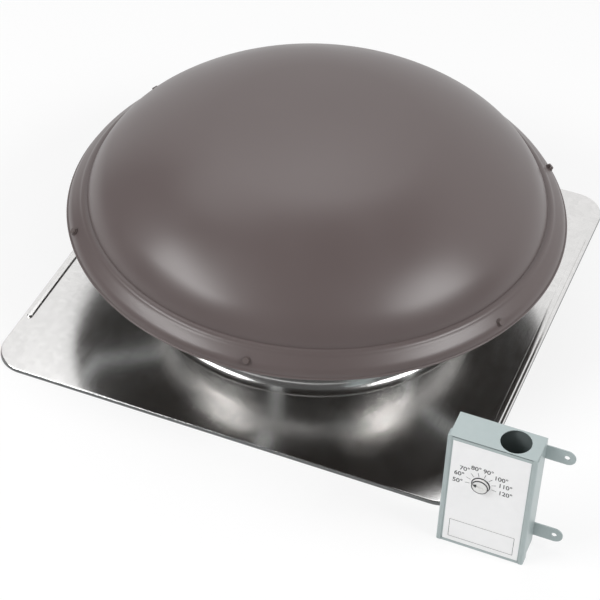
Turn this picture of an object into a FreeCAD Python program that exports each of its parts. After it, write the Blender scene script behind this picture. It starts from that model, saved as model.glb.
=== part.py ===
import FreeCAD, Part

import math
import os

import Sketcher
from FreeCAD import Placement, Rotation, Vector

# Power attic ventilator: a square flashing with a drawn throat, a spun dome on six brackets,
# a motor hung in the throat with a four-blade fan, and a separate thermostat box.
# The origin is at the middle of the flashing's underside, +Z up, +Y towards the roof's ridge.

doc = FreeCAD.newDocument("attic_ventilator")
sheet = doc.addObject("Spreadsheet::Sheet", "Sizes")
aliases = []
parts = []


class Size(float):
    """A number that remembers the formula it came from, so that a property can be bound to it."""

    def __new__(cls, value, text=None):
        number = float.__new__(cls, value)
        number.text = text or f"{float(value):.9g}"
        return number

    def __add__(self, other):
        return Size(float(self) + float(other), f"({self.text} + {Size.formula(other)})")

    def __radd__(self, other):
        return Size(float(other) + float(self), f"({Size.formula(other)} + {self.text})")

    def __sub__(self, other):
        return Size(float(self) - float(other), f"({self.text} - {Size.formula(other)})")

    def __rsub__(self, other):
        return Size(float(other) - float(self), f"({Size.formula(other)} - {self.text})")

    def __mul__(self, other):
        return Size(float(self) * float(other), f"({self.text} * {Size.formula(other)})")

    def __rmul__(self, other):
        return Size(float(other) * float(self), f"({Size.formula(other)} * {self.text})")

    def __truediv__(self, other):
        return Size(float(self) / float(other), f"({self.text} / {Size.formula(other)})")

    def __neg__(self):
        return Size(-float(self), f"(0 - {self.text})")

    @staticmethod
    def formula(value):
        return value.text if isinstance(value, Size) else f"{float(value):.9g}"


def size(alias, value):
    """One driving dimension in millimetres or degrees: a cell of the sheet with a name."""
    aliases.append(alias)
    row = len(aliases)
    sheet.set(f"A{row}", alias.replace("_", " "))
    sheet.set(f"B{row}", f"{value:g}")
    sheet.setAlias(f"B{row}", alias)
    return Size(value, f"Sizes.{alias}")


# Workshop allowances
fit_gap = size("fit_gap", 0.1)
drill_length = size("drill_length", 20)
full_round_spare = size("full_round_spare", 0.01)
zero_below = 1e-9

# Flashing
flashing_side = size("flashing_side", 610)
flashing_corner = size("flashing_corner_radius", 42)
flashing_sheet = size("flashing_sheet", 1)
lip_height = size("lip_height", 5)
rib_inset = size("rib_inset", 8)
rib_width = size("rib_width", 7)
rib_length = size("rib_length", 432)
rib_rise = size("rib_rise", 2.4)
throat_blend = size("throat_blend_radius", 252)
throat_foot = size("throat_foot_radius", 207)
throat_foot_rise = size("throat_foot_rise", 7.5)
throat_bore = size("throat_bore_radius", 186)
throat_neck_rise = size("throat_neck_rise", 40)
throat_rise = size("throat_rise", 92)
throat_rim = size("throat_rim_width", 16)

# Dome
rim_radius = size("dome_rim_radius", 310.5)
rim_rise = size("dome_rim_rise", 117.3)
hem_radius = size("dome_hem_radius", 1.6)
skirt_arc = size("skirt_arc_radius", 21)
bead_radius = size("bead_lower_radius", 289)
bead_rise = size("bead_lower_rise", 136)
bead_arc = size("bead_arc_radius", 9)
crease_radius = size("crease_radius", 287.2)
crease_rise = size("crease_rise", 149.4)
shoulder_arc = size("shoulder_arc_radius", 246)
shoulder_slope = size("shoulder_slope", 51.2)
crown_arc = size("crown_arc_radius", 944)
crown_flat = size("crown_flat_radius", 6)
dome_sheet = size("dome_sheet", 1)

# Dome brackets and their screws
bracket_count = 6
bracket_first_angle = size("bracket_first_angle", -83.84)
bracket_width = size("bracket_width", 20)
bracket_sheet = size("bracket_sheet", 1.5)
bracket_tab = size("bracket_tab_length", 13)
bracket_knee = size("bracket_knee_radius", 284)
skirt_screw_slope = size("skirt_screw_slope", 42)
skirt_drill_start = size("skirt_drill_start", 3)
skirt_drill_length = size("skirt_drill_length", 13)
screw_radius = size("screw_radius", 2.4)
screw_head = size("screw_head_across_flats", 8)
screw_head_height = size("screw_head_height", 4)
screw_flange = size("screw_flange_radius", 5.2)
screw_flange_height = size("screw_flange_height", 0.9)
screw_length = size("screw_length", 12)
rivet_radius = size("rivet_radius", 2)
rivet_head = size("rivet_head_radius", 3.8)
rivet_head_height = size("rivet_head_height", 1.2)

# Bird screen
screen_inner = size("screen_inner_radius", 205)
screen_outer = size("screen_outer_radius", 281)
screen_wire = size("screen_wire", 1.4)
screen_rings = 4
screen_spokes = 48

# Motor
arm_count = 3
arm_first_angle = size("arm_first_angle", 6.16)
arm_width = size("arm_width", 24)
arm_sheet = size("arm_sheet", 2)
arm_inner = size("arm_inner_radius", 40)
arm_step = size("arm_step", 6)
motor_radius = size("motor_radius", 62)
motor_base = size("motor_base_rise", 106)
motor_height = size("motor_height", 74)
motor_sheet = size("motor_sheet", 1.6)
cap_height = size("end_cap_height", 12)
cap_lip = size("end_cap_lip", 3)
bearing_radius = size("bearing_radius", 11)
bearing_height = size("bearing_height", 8)
bearing_sunk = size("bearing_sunk_depth", 6)
bearing_wall = size("bearing_seat_wall", 4)
cap_floor = size("end_cap_floor", 4)
cap_spigot = size("end_cap_spigot_wall", 3)
air_slot_length = size("air_slot_length", 18)
air_slot_width = size("air_slot_width", 5)
air_slot_radius = size("air_slot_circle_radius", 30)
air_slots = 12
shaft_room = size("shaft_room", 1)
motor_bolt_circle = size("motor_bolt_circle_radius", 50)
motor_bolt_radius = size("motor_bolt_radius", 2.5)
motor_bolt_bite = size("motor_bolt_bite", 11)
grommet_radius = size("grommet_radius", 9)
grommet_lift = size("grommet_height", 5)
stator_inner = size("stator_inner_radius", 31)
stator_height = size("stator_height", 30)
stator_slots = 12
stator_slot_depth = size("stator_slot_depth", 14)
stator_slot_width = size("stator_slot_width", 6)
stator_slot_corner = size("stator_slot_corner", 2.5)
stator_tooth = size("stator_tooth_height", 2)
air_gap = size("air_gap", 0.5)
winding_height = size("winding_height", 9)
winding_reach = size("winding_reach", 16)
winding_inset = size("winding_inset", 3)
shaft_radius = size("shaft_radius", 4)
shaft_gap = size("shaft_gap", 0.05)
shaft_spare = size("shaft_end_spare", 2)
shaft_chamfer = size("shaft_chamfer", 0.6)

# Fan
fan_radius = size("fan_radius", 177.8)
fan_rise = size("fan_rise", 62)
blade_count = 4
blade_root = size("blade_root_radius", 48)
blade_root_width = size("blade_root_width", 62)
blade_tip_width = size("blade_tip_width", 116)
blade_corner = size("blade_corner_radius", 20)
blade_sheet = size("blade_sheet", 1.5)
blade_camber = size("blade_camber_radius", 150)
pitch_root = size("blade_pitch_root", 32)
pitch_tip = size("blade_pitch_tip", 21)
spider_sheet = size("spider_sheet", 2)
spider_disc = size("spider_disc_radius", 30)
spider_reach = size("spider_reach", 100)
spider_arm_width = size("spider_arm_width", 28)
hub_radius = size("hub_radius", 14)
hub_height = size("hub_height", 26)
hub_flange = size("hub_flange_radius", 22)
hub_step = size("hub_step", 3)
set_screw_radius = size("set_screw_radius", 3)
blade_blank = size("blade_blank_width", 150)
blade_run_in = size("blade_run_in", 10)
blade_run_out = size("blade_run_out", 4)
spider_arm_corner = size("spider_arm_corner", 6)
spider_overlap = size("spider_arm_overlap", 8)
blade_trim_height = size("blade_trim_height", 160)
socket_depth = size("set_screw_socket_depth", 3)
rivet_edge = size("rivet_edge_distance", 9)
rivets_per_blade = 3

# Thermostat
case_left = size("case_left", 290)
case_front = size("case_front", 350)
case_width = size("case_width", 100)
case_height = size("case_height", 165)
case_depth = size("case_depth", 40)
case_sheet = size("case_sheet", 1.2)
edge_fold = size("case_edge_fold", 7)
fold_round = size("fold_round_radius", 0.54)
ear_length = size("ear_length", 34)
ear_width = size("ear_width", 20)
ear_hole = size("ear_hole_radius", 3)
ear_inset = size("ear_inset", 20)
wiring_hole = size("wiring_hole_radius", 17.45)
wiring_hole_offset = size("wiring_hole_offset", 70)
dial_across = size("dial_offset", 42)
dial_rise = size("dial_rise", 105)
dial_radius = size("dial_radius", 9.8)
dial_depth = size("dial_depth", 3.4)
dial_chamfer = size("dial_chamfer", 0.8)
dial_slot_length = size("dial_slot_length", 14.6)
dial_slot_width = size("dial_slot_width", 2)
dial_slot_corner = size("dial_slot_corner", 0.6)
pointer_inset = size("pointer_inset", 0.9)
pointer_length = size("pointer_length", 2.4)
pointer_width = size("pointer_width", 4.4)
pointer_depth = size("pointer_depth", 0.6)
spindle_radius = size("spindle_radius", 3)
spindle_length = size("spindle_length", 24)
nut_across = size("range_nut_across_flats", 12)
nut_depth = size("range_nut_depth", 5)
nut_inset = size("range_nut_inset", 2)
clip_width = size("clip_width", 2.5)
clip_sheet = size("clip_sheet", 0.8)
switch_width = size("switch_width", 34)
switch_height = size("switch_height", 26)
switch_depth = size("switch_depth", 12)
switch_drop = size("switch_drop", 39)
switch_round = size("switch_round_radius", 1.5)
terminal_width = size("terminal_width", 7)
terminal_length = size("terminal_length", 12)
terminal_sheet = size("terminal_sheet", 1)
terminal_drop = size("terminal_drop", 5)
terminal_screw_drop = size("terminal_screw_drop", 1.5)
terminal_screw = size("terminal_screw_radius", 1.5)
terminal_head = size("terminal_head_radius", 2.8)
terminal_head_height = size("terminal_head_height", 1.6)
terminal_shank = size("terminal_shank_length", 4)
cover_skirt = size("cover_skirt", 12)
corner_lift = size("cover_corner_lift", 3)
label_sheet = size("label_sheet", 0.3)
bush_radius = size("bush_radius", 5)
bush_flange_radius = size("bush_flange_radius", 7)
bush_flange_height = size("bush_flange_height", 1)
bush_length = size("bush_length", 8)
dial_rest_angle = size("dial_rest_angle", 170)
strip_drop = size("bimetal_drop", 26)
strip_length = size("bimetal_length", 58)
strip_width = size("bimetal_width", 10)
strip_sheet = size("bimetal_sheet", 0.8)

plate_top = lip_height
throat_top = plate_top + throat_rise
fan_level = plate_top + fan_rise
rim_rivets_at = throat_bore + flashing_sheet + throat_rim / 2
motor_bottom = plate_top + motor_base
motor_top = motor_bottom + motor_height


def bind(item, name, value):
    """Set a property, and tie it to the sheet where the value came from there."""
    if isinstance(value, Size) and "Sizes." in value.text:
        item.setExpression(name, value.text)
    else:
        setattr(item, name, float(value))


def node(item, label):
    """Count an object as one piece of the ventilator under its own name."""
    item.Label = label
    parts.append(item)
    return item


def hold(sketch, axis, geometry, point, value):
    """Fix one coordinate of a point of a sketch."""
    if abs(value) < zero_below:
        line = -2 if axis == "X" else -1
        sketch.addConstraint(Sketcher.Constraint("PointOnObject", geometry, point, line))
        return
    index = sketch.addConstraint(
        Sketcher.Constraint(f"Distance{axis}", -1, 1, geometry, point, float(value))
    )
    if isinstance(value, Size) and "Sizes." in value.text:
        sketch.setExpression(f"Constraints[{index}]", value.text)


def arc_between(start, end, radius):
    """The short arc from start to end. It turns left where radius is positive, and right otherwise."""
    chord = end - start
    reach = math.sqrt(max(radius * radius - chord.Length ** 2 / 4, 0))
    left = Vector(-chord.y, chord.x, 0).normalize()
    side = 1 if radius > 0 else -1
    centre = (start + end) / 2 + left * side * reach
    first, last = (start, end) if radius > 0 else (end, start)
    angles = [math.atan2(p.y - centre.y, p.x - centre.x) for p in (first, last)]
    if angles[1] < angles[0]:
        angles[1] += 2 * math.pi
    return Part.ArcOfCircle(Part.Circle(centre, Vector(0, 0, 1), abs(radius)), *angles)


def draw(sketch, corners, bends=None, closed=True):
    """Lines between the corners, and an arc of the given radius after each corner in bends."""
    bends = bends or {}
    count = len(corners)
    stretches = count if closed else count - 1
    base = sketch.GeometryCount
    ends = []
    for i in range(stretches):
        start = Vector(*[float(v) for v in corners[i]], 0)
        end = Vector(*[float(v) for v in corners[(i + 1) % count]], 0)
        if i in bends:
            sketch.addGeometry(arc_between(start, end, float(bends[i])))
            ends.append((1, 2) if bends[i] > 0 else (2, 1))
        else:
            sketch.addGeometry(Part.LineSegment(start, end))
            ends.append((1, 2))
    for i in range(stretches if closed else stretches - 1):
        after = (i + 1) % stretches
        sketch.addConstraint(
            Sketcher.Constraint("Coincident", base + i, ends[i][1], base + after, ends[after][0])
        )
    for i, corner in enumerate(corners):
        if i < stretches:
            geometry, point = base + i, ends[i][0]
        else:
            geometry, point = base + i - 1, ends[i - 1][1]
        hold(sketch, "X", geometry, point, corner[0])
        hold(sketch, "Y", geometry, point, corner[1])
    for i, radius in bends.items():
        index = sketch.addConstraint(
            Sketcher.Constraint("Radius", base + i, abs(float(radius)))
        )
        size_of = -radius if radius < 0 else radius
        if isinstance(size_of, Size) and "Sizes." in size_of.text:
            sketch.setExpression(f"Constraints[{index}]", size_of.text)
    return sketch


def ring(sketch, radius, x=0, y=0):
    """A circle with its centre held."""
    circle = Part.Circle(Vector(float(x), float(y), 0), Vector(0, 0, 1), float(radius))
    geometry = sketch.addGeometry(circle)
    hold(sketch, "X", geometry, 3, x)
    hold(sketch, "Y", geometry, 3, y)
    index = sketch.addConstraint(Sketcher.Constraint("Radius", geometry, float(radius)))
    if isinstance(radius, Size) and "Sizes." in radius.text:
        sketch.setExpression(f"Constraints[{index}]", radius.text)
    return sketch


def rounded_box(sketch, width, height, radius, x=0, y=0):
    """A rectangle with round corners about the point x, y."""
    a, b = width / 2, height / 2
    corners = [
        (x - a + radius, y - b),
        (x + a - radius, y - b),
        (x + a, y - b + radius),
        (x + a, y + b - radius),
        (x + a - radius, y + b),
        (x - a + radius, y + b),
        (x - a, y + b - radius),
        (x - a, y - b + radius),
    ]
    return draw(sketch, corners, {1: radius, 3: radius, 5: radius, 7: radius})


def body(name):
    return doc.addObject("PartDesign::Body", name)


def sketch_on(host, name, role, lift=0):
    """A sketch on one of the body's own planes, lifted along that plane's normal."""
    sketch = host.newObject("Sketcher::SketchObject", name)
    plane = [p for p in host.Origin.OriginFeatures if p.Role == role][0]
    sketch.AttachmentSupport = [(plane, "")]
    sketch.MapMode = "FlatFace"
    if isinstance(lift, Size):
        sketch.setExpression("AttachmentOffset.Base.z", lift.text)
    sketch.AttachmentOffset = Placement(Vector(0, 0, float(lift)), Rotation())
    return sketch


def pad(host, name, sketch, length):
    feature = host.newObject("PartDesign::Pad", name)
    feature.Profile = sketch
    bind(feature, "Length", length)
    doc.recompute()
    return feature


def pocket(host, name, sketch, length, up=True):
    """Cut along the sketch's normal where up is true, and against it otherwise."""
    feature = host.newObject("PartDesign::Pocket", name)
    feature.Profile = sketch
    feature.Reversed = up
    bind(feature, "Length", length)
    doc.recompute()
    return feature


def polar(host, name, features, count):
    pattern = host.newObject("PartDesign::PolarPattern", name)
    pattern.Originals = features
    axis = [a for a in host.Origin.OriginFeatures if a.Role == "Z_Axis"][0]
    pattern.Axis = (axis, [""])
    pattern.Angle = 360
    pattern.Occurrences = count
    host.Tip = pattern
    doc.recompute()
    return pattern


def revolve(host, name, sketch):
    feature = host.newObject("PartDesign::Revolution", name)
    feature.Profile = sketch
    axis = [a for a in host.Origin.OriginFeatures if a.Role == "Z_Axis"][0]
    feature.ReferenceAxis = (axis, [""])
    feature.Angle = 360
    doc.recompute()
    return feature


def profile_plane(name, turn=0):
    """A free sketch in the upright plane through the Z axis: x is the radius, y the height."""
    sketch = doc.addObject("Sketcher::SketchObject", name)
    upright = Rotation(Vector(1, 0, 0), 90)
    sketch.Placement = Placement(Vector(), Rotation(Vector(0, 0, 1), turn) * upright)
    return sketch


def sheet_section(name, path, thickness, towards):
    """The section of a sheet that follows a path, with its thickness on the side of a direction."""
    section = doc.addObject("Part::Offset2D", name)
    section.Source = path
    section.Mode = "Skin"
    section.Join = "Arc"
    section.Fill = True
    bind(section, "Value", thickness)
    doc.recompute()
    shift = section.Shape.CenterOfMass - path.Shape.CenterOfMass
    if shift.dot(towards) < 0:
        bind(section, "Value", -thickness)
    return section


def spun(name, section):
    turned = doc.addObject("Part::Revolution", name)
    turned.Source = section
    turned.Axis = Vector(0, 0, 1)
    turned.Base = Vector(0, 0, 0)
    turned.Angle = 360
    turned.Solid = True
    return turned


def folded(name, section, width, direction):
    """A bent strip: the section drawn out to both sides."""
    strip = doc.addObject("Part::Extrusion", name)
    strip.Base = section
    strip.DirMode = "Custom"
    strip.Dir = direction
    strip.Solid = True
    strip.Symmetric = True
    bind(strip, "LengthFwd", width)
    return strip


def fuse(name, items):
    joined = doc.addObject("Part::MultiFuse", name)
    joined.Shapes = items
    joined.Refine = True
    return joined


def cut(name, base, tool):
    result = doc.addObject("Part::Cut", name)
    result.Base = base
    result.Tool = tool
    result.Refine = True
    return result


def cylinder(name, radius, height, at=(0, 0, 0), turn=None):
    solid = doc.addObject("Part::Cylinder", name)
    solid.Placement = Placement(Vector(*[float(v) for v in at]), turn or Rotation())
    bind(solid, "Radius", radius)
    bind(solid, "Height", height)
    for letter, value in zip("xyz", at):
        if isinstance(value, Size) and "Sizes." in value.text:
            solid.setExpression(f"Placement.Base.{letter}", value.text)
    return solid


def tube(name, outer, inner, height, level):
    """A plain tube about the Z axis."""
    skin = cylinder(name + "_skin", outer, height, (0, 0, level))
    core = cylinder(name + "_core", inner, height, (0, 0, level))
    return cut(name, skin, core)


def group(label, shapes):
    """Like pieces, such as a set of screws, kept as separate solids under one name."""
    item = doc.addObject("Part::Feature", label)
    item.Shape = Part.makeCompound(shapes)
    return node(item, label)


def around(count, first, shape):
    """Copies of a shape turned about the Z axis."""
    turned = []
    for i in range(count):
        copy = shape.copy()
        copy.rotate(Vector(), Vector(0, 0, 1), float(first) + 360 * i / count)
        turned.append(copy)
    return turned


def placed(shape, point, direction):
    """A shape turned from Z to a direction about the origin, then moved to a point."""
    copy = shape.copy()
    matrix = Placement(point, Rotation(Vector(0, 0, 1), direction)).toMatrix()
    return copy.transformed(matrix)


def hex_prism(across_flats, height):
    corner = float(across_flats) / math.sqrt(3)
    turns = [math.radians(60 * i) for i in range(7)]
    points = [Vector(corner * math.cos(turn), corner * math.sin(turn), 0) for turn in turns]
    return Part.Face(Part.makePolygon(points)).extrude(Vector(0, 0, float(height)))


def hex_screw(length, radius):
    """A hex head with a washer flange. The flange's underside is at zero, the shank points down."""
    shank = Part.makeCylinder(radius, length, Vector(0, 0, -float(length)))
    flange = Part.makeCylinder(screw_flange, screw_flange_height)
    foot_share, top_share = 0.68, 0.46
    height = float(screw_head_height)
    rounded = Part.makeCone(screw_head * foot_share, screw_head * top_share, height)
    crown = hex_prism(screw_head, height).common(rounded)
    return shank.fuse([flange, crown]).removeSplitter()


def rivet(grip):
    """A rivet with two low round heads. It starts at zero and grips upwards."""
    grip = float(grip)
    rise = float(rivet_head_height)
    shank = Part.makeCylinder(rivet_radius, grip, Vector())
    lower = Part.makeCone(rivet_radius, rivet_head, rise, Vector(0, 0, -rise))
    upper = Part.makeCone(rivet_head, rivet_radius, rise, Vector(0, 0, grip))
    return shank.fuse([lower, upper]).removeSplitter()


def drill(radius, x, y, z):
    """An upright drill with its usual clearance, half above and half below a point."""
    foot = Vector(float(x), float(y), float(z - drill_length / 2))
    return Part.makeCylinder(radius + fit_gap, drill_length, foot)


def feature_of(name, shapes):
    """A tool made of several plain shapes, kept in the document for the cut that uses it."""
    tool = doc.addObject("Part::Feature", name)
    tool.Shape = Part.makeCompound(shapes)
    return tool


def make_flashing():
    """A square pan of galvanised sheet with its throat drawn up in the middle."""
    pan = body("flashing_pan")
    outer = sketch_on(pan, "pan_outline", "XY_Plane")
    rounded_box(outer, flashing_side, flashing_side, flashing_corner)
    pad(pan, "pan_blank", outer, lip_height)
    inner_side = flashing_side - 2 * flashing_sheet
    inner = sketch_on(pan, "pan_inside", "XY_Plane")
    rounded_box(inner, inner_side, inner_side, flashing_corner - flashing_sheet)
    pocket(pan, "pan_hollow", inner, lip_height - flashing_sheet)
    ribs = sketch_on(pan, "rib_outline", "XY_Plane", lip_height - flashing_sheet)
    for side in (-1, 1):
        centre = side * (flashing_side / 2 - rib_inset)
        rounded_box(ribs, rib_width, rib_length, rib_width / 2 - full_round_spare, centre)
    pad(pan, "ribs", ribs, rib_rise + flashing_sheet)
    grooves = sketch_on(pan, "rib_inside", "XY_Plane", lip_height - flashing_sheet)
    groove = rib_width - 2 * flashing_sheet
    groove_length = rib_length - 2 * flashing_sheet
    for side in (-1, 1):
        centre = side * (flashing_side / 2 - rib_inset)
        rounded_box(grooves, groove, groove_length, groove / 2 - full_round_spare, centre)
    pocket(pan, "rib_hollows", grooves, rib_rise)
    hole = ring(sketch_on(pan, "throat_opening", "XY_Plane"), throat_blend)
    pocket(pan, "throat_cut", hole, lip_height)

    run = throat_blend - throat_foot
    blend_arc = (run * run + throat_foot_rise * throat_foot_rise) / (2 * throat_foot_rise)
    neck = throat_bore + flashing_sheet
    path = profile_plane("throat_path")
    corners = [
        (throat_blend, plate_top),
        (throat_foot, plate_top + throat_foot_rise),
        (neck, plate_top + throat_neck_rise),
        (neck, throat_top - flashing_sheet),
        (throat_bore + throat_rim, throat_top - flashing_sheet),
    ]
    draw(path, corners, {0: -blend_arc}, closed=False)
    throat = spun("throat", sheet_section("throat_section", path, flashing_sheet, Vector(-1, 0, 0)))
    bracket_hole = drill(rivet_radius, rim_rivets_at, 0, throat_top)
    drills = around(bracket_count, bracket_first_angle, bracket_hole)
    for side in (-1, 1):
        arm_hole = drill(rivet_radius, rim_rivets_at, side * arm_width / 4, throat_top)
        drills += around(arm_count, arm_first_angle, arm_hole)
    holes = feature_of("rim_holes", drills)
    node(cut("flashing_drilled", fuse("flashing_drawn", [pan, throat]), holes), "flashing")


def skirt_point(depth):
    """A point of the skirt where its normal rises at the screws' slope, and that normal."""
    low = Vector(float(rim_radius - hem_radius), float(plate_top + rim_rise + hem_radius), 0)
    high = Vector(float(bead_radius), float(plate_top + bead_rise), 0)
    arc = arc_between(low, high, float(skirt_arc))
    slope = math.radians(float(skirt_screw_slope))
    normal = Vector(math.cos(slope), math.sin(slope), 0)
    point = arc.Center + normal * (float(skirt_arc) - float(depth))
    return Vector(point.x, 0, point.y), Vector(normal.x, 0, normal.y)


def skirt_drill():
    """A drill through the skirt and the bracket behind it, square to the skirt."""
    bar = Part.makeCylinder(screw_radius + fit_gap, skirt_drill_length, Vector(), Vector(0, 0, -1))
    return placed(bar, *skirt_point(-skirt_drill_start))


def make_dome():
    """A spun dome: crown, bead and flared skirt in one sheet, its edge rolled to a hem."""
    slope = math.radians(float(shoulder_slope))
    reach = crease_radius - crown_flat - shoulder_arc * math.sin(slope)
    sweep = math.asin(reach / (crown_arc - shoulder_arc))
    crease = plate_top + crease_rise
    shoulder = crease + shoulder_arc * (math.cos(sweep) - math.cos(slope))
    crown = shoulder + crown_arc * (1 - math.cos(sweep))
    path = profile_plane("dome_path")
    corners = [
        (0, crown),
        (crown_flat, crown),
        (crown_flat + crown_arc * math.sin(sweep), shoulder),
        (crease_radius, crease),
        (bead_radius, plate_top + bead_rise),
        (rim_radius - hem_radius, plate_top + rim_rise + hem_radius),
    ]
    bends = {1: -crown_arc, 2: -shoulder_arc, 3: -bead_arc, 4: -skirt_arc}
    draw(path, corners, bends, closed=False)
    shell = spun("dome_shell", sheet_section("dome_section", path, dome_sheet, Vector(0, 0, -1)))
    hem = doc.addObject("Part::Torus", "dome_hem")
    hem_level = plate_top + rim_rise + hem_radius
    bind(hem, "Radius1", rim_radius - hem_radius)
    bind(hem, "Radius2", hem_radius)
    hem.Placement = Placement(Vector(0, 0, float(hem_level)), Rotation())
    hem.setExpression("Placement.Base.z", hem_level.text)
    whole = fuse("dome_whole", [shell, hem])
    drills = around(bracket_count, bracket_first_angle, skirt_drill())
    holes = feature_of("dome_screw_holes", drills)
    node(cut("dome_drilled", whole, holes), "dome")


def bracket_path():
    """The dome bracket's path: foot on the throat's rim, arm outwards, tab up behind the skirt."""
    inner_arc = float(skirt_arc - dome_sheet)
    sagitta = inner_arc - math.sqrt(inner_arc ** 2 - float(bracket_tab / 2) ** 2)
    middle, normal = skirt_point(dome_sheet + sagitta + 2 * fit_gap)
    along = Vector(-normal.z, 0, normal.x) * float(bracket_tab / 2)
    low, high = middle - along, middle + along
    foot = throat_bore + flashing_sheet + 2 * fit_gap
    return [(foot, throat_top), (bracket_knee, throat_top), (low.x, low.z), (high.x, high.z)]


def make_brackets():
    """Six bent strips that carry the dome on the throat's rim, with their rivets and screws."""
    foot_hole = drill(rivet_radius, rim_rivets_at, 0, throat_top)
    for i in range(bracket_count):
        angle = float(bracket_first_angle) + 360 * i / bracket_count
        name = f"dome_bracket_{i + 1}"
        path = draw(profile_plane(name + "_path"), bracket_path(), closed=False)
        section = sheet_section(name + "_section", path, bracket_sheet, Vector(-1, 0, 1))
        strip = folded(name + "_strip", section, bracket_width, Vector(0, 1, 0))
        holes = feature_of(name + "_holes", [skirt_drill(), foot_hole])
        bracket = node(cut(name + "_drilled", strip, holes), name)
        bracket.Placement = Placement(Vector(), Rotation(Vector(0, 0, 1), angle))
    head, outward = skirt_point(-fit_gap)
    screw = placed(hex_screw(screw_length, screw_radius), head, outward)
    group("dome_screws", around(bracket_count, bracket_first_angle, screw))
    foot_rivet = rivet(flashing_sheet + bracket_sheet + 2 * fit_gap)
    foot_rivet.translate(Vector(float(rim_rivets_at), 0, float(throat_top - flashing_sheet - fit_gap)))
    group("bracket_rivets", around(bracket_count, bracket_first_angle, foot_rivet))


def make_screen():
    """A welded ring of spokes and hoops that lies on the dome brackets and keeps birds out."""
    screen = body("bird_screen_body")
    level = throat_top + bracket_sheet + fit_gap
    disc = sketch_on(screen, "screen_outline", "XY_Plane", level)
    ring(disc, screen_outer)
    ring(disc, screen_inner)
    pad(screen, "screen_blank", disc, screen_wire)
    window = sketch_on(screen, "screen_window", "XY_Plane", level)
    pitch = (screen_outer - screen_inner) / screen_rings
    for i in range(screen_rings):
        low = screen_inner + pitch * i + screen_wire
        high = low + pitch - screen_wire * (2 if i == screen_rings - 1 else 1)
        wide_low = low * math.tan(math.pi / screen_spokes) - screen_wire / 2
        wide_high = high * math.tan(math.pi / screen_spokes) - screen_wire / 2
        draw(window, [(low, -wide_low), (high, -wide_high), (high, wide_high), (low, wide_low)])
    windows = pocket(screen, "screen_windows", window, screen_wire)
    polar(screen, "screen_mesh", [windows], screen_spokes)
    node(screen, "bird_screen")


def make_motor_arms():
    """Three strips from the throat's rim to the motor, with the rivets and bolts that hold them."""
    level = throat_top
    lift = motor_bottom - arm_sheet - grommet_lift
    for i in range(arm_count):
        angle = float(arm_first_angle) + 360 * i / arm_count
        name = f"motor_arm_{i + 1}"
        corners = [
            (throat_bore + throat_rim, level),
            (throat_bore - arm_step, level),
            (motor_bolt_circle + 2 * grommet_radius, lift),
            (arm_inner, lift),
        ]
        path = draw(profile_plane(name + "_path"), corners, closed=False)
        section = sheet_section(name + "_section", path, arm_sheet, Vector(0, 0, 1))
        strip = folded(name + "_strip", section, arm_width, Vector(0, 1, 0))
        drills = [drill(motor_bolt_radius, motor_bolt_circle, 0, lift)]
        for side in (-1, 1):
            drills.append(drill(rivet_radius, rim_rivets_at, side * arm_width / 4, level))
        arm = node(cut(name + "_drilled", strip, feature_of(name + "_holes", drills)), name)
        arm.Placement = Placement(Vector(), Rotation(Vector(0, 0, 1), angle))
    grip = flashing_sheet + arm_sheet + 2 * fit_gap
    under = level - flashing_sheet - fit_gap
    pins = []
    for side in (-1, 1):
        pin = rivet(grip)
        pin.translate(Vector(float(rim_rivets_at), float(side * arm_width / 4), float(under)))
        pins += around(arm_count, arm_first_angle, pin)
    group("arm_rivets", pins)

    washer = Part.makeCylinder(grommet_radius, grommet_lift - 2 * fit_gap)
    bore = Part.makeCylinder(motor_bolt_radius + fit_gap, grommet_lift)
    washer = washer.cut(bore)
    washer.translate(Vector(float(motor_bolt_circle), 0, float(lift + arm_sheet + fit_gap)))
    group("motor_grommets", around(arm_count, arm_first_angle, washer))
    length = arm_sheet + grommet_lift + motor_bolt_bite
    under = Vector(float(motor_bolt_circle), 0, float(lift - fit_gap))
    bolt = placed(hex_screw(length, motor_bolt_radius), under, Vector(0, 0, -1))
    group("motor_bolts", around(arm_count, arm_first_angle, bolt))
    screw = hex_screw(motor_bolt_bite, motor_bolt_radius)
    screw.translate(Vector(float(motor_bolt_circle), 0, float(motor_top + fit_gap)))
    group("motor_cap_screws", around(arm_count, arm_first_angle, screw))


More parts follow.
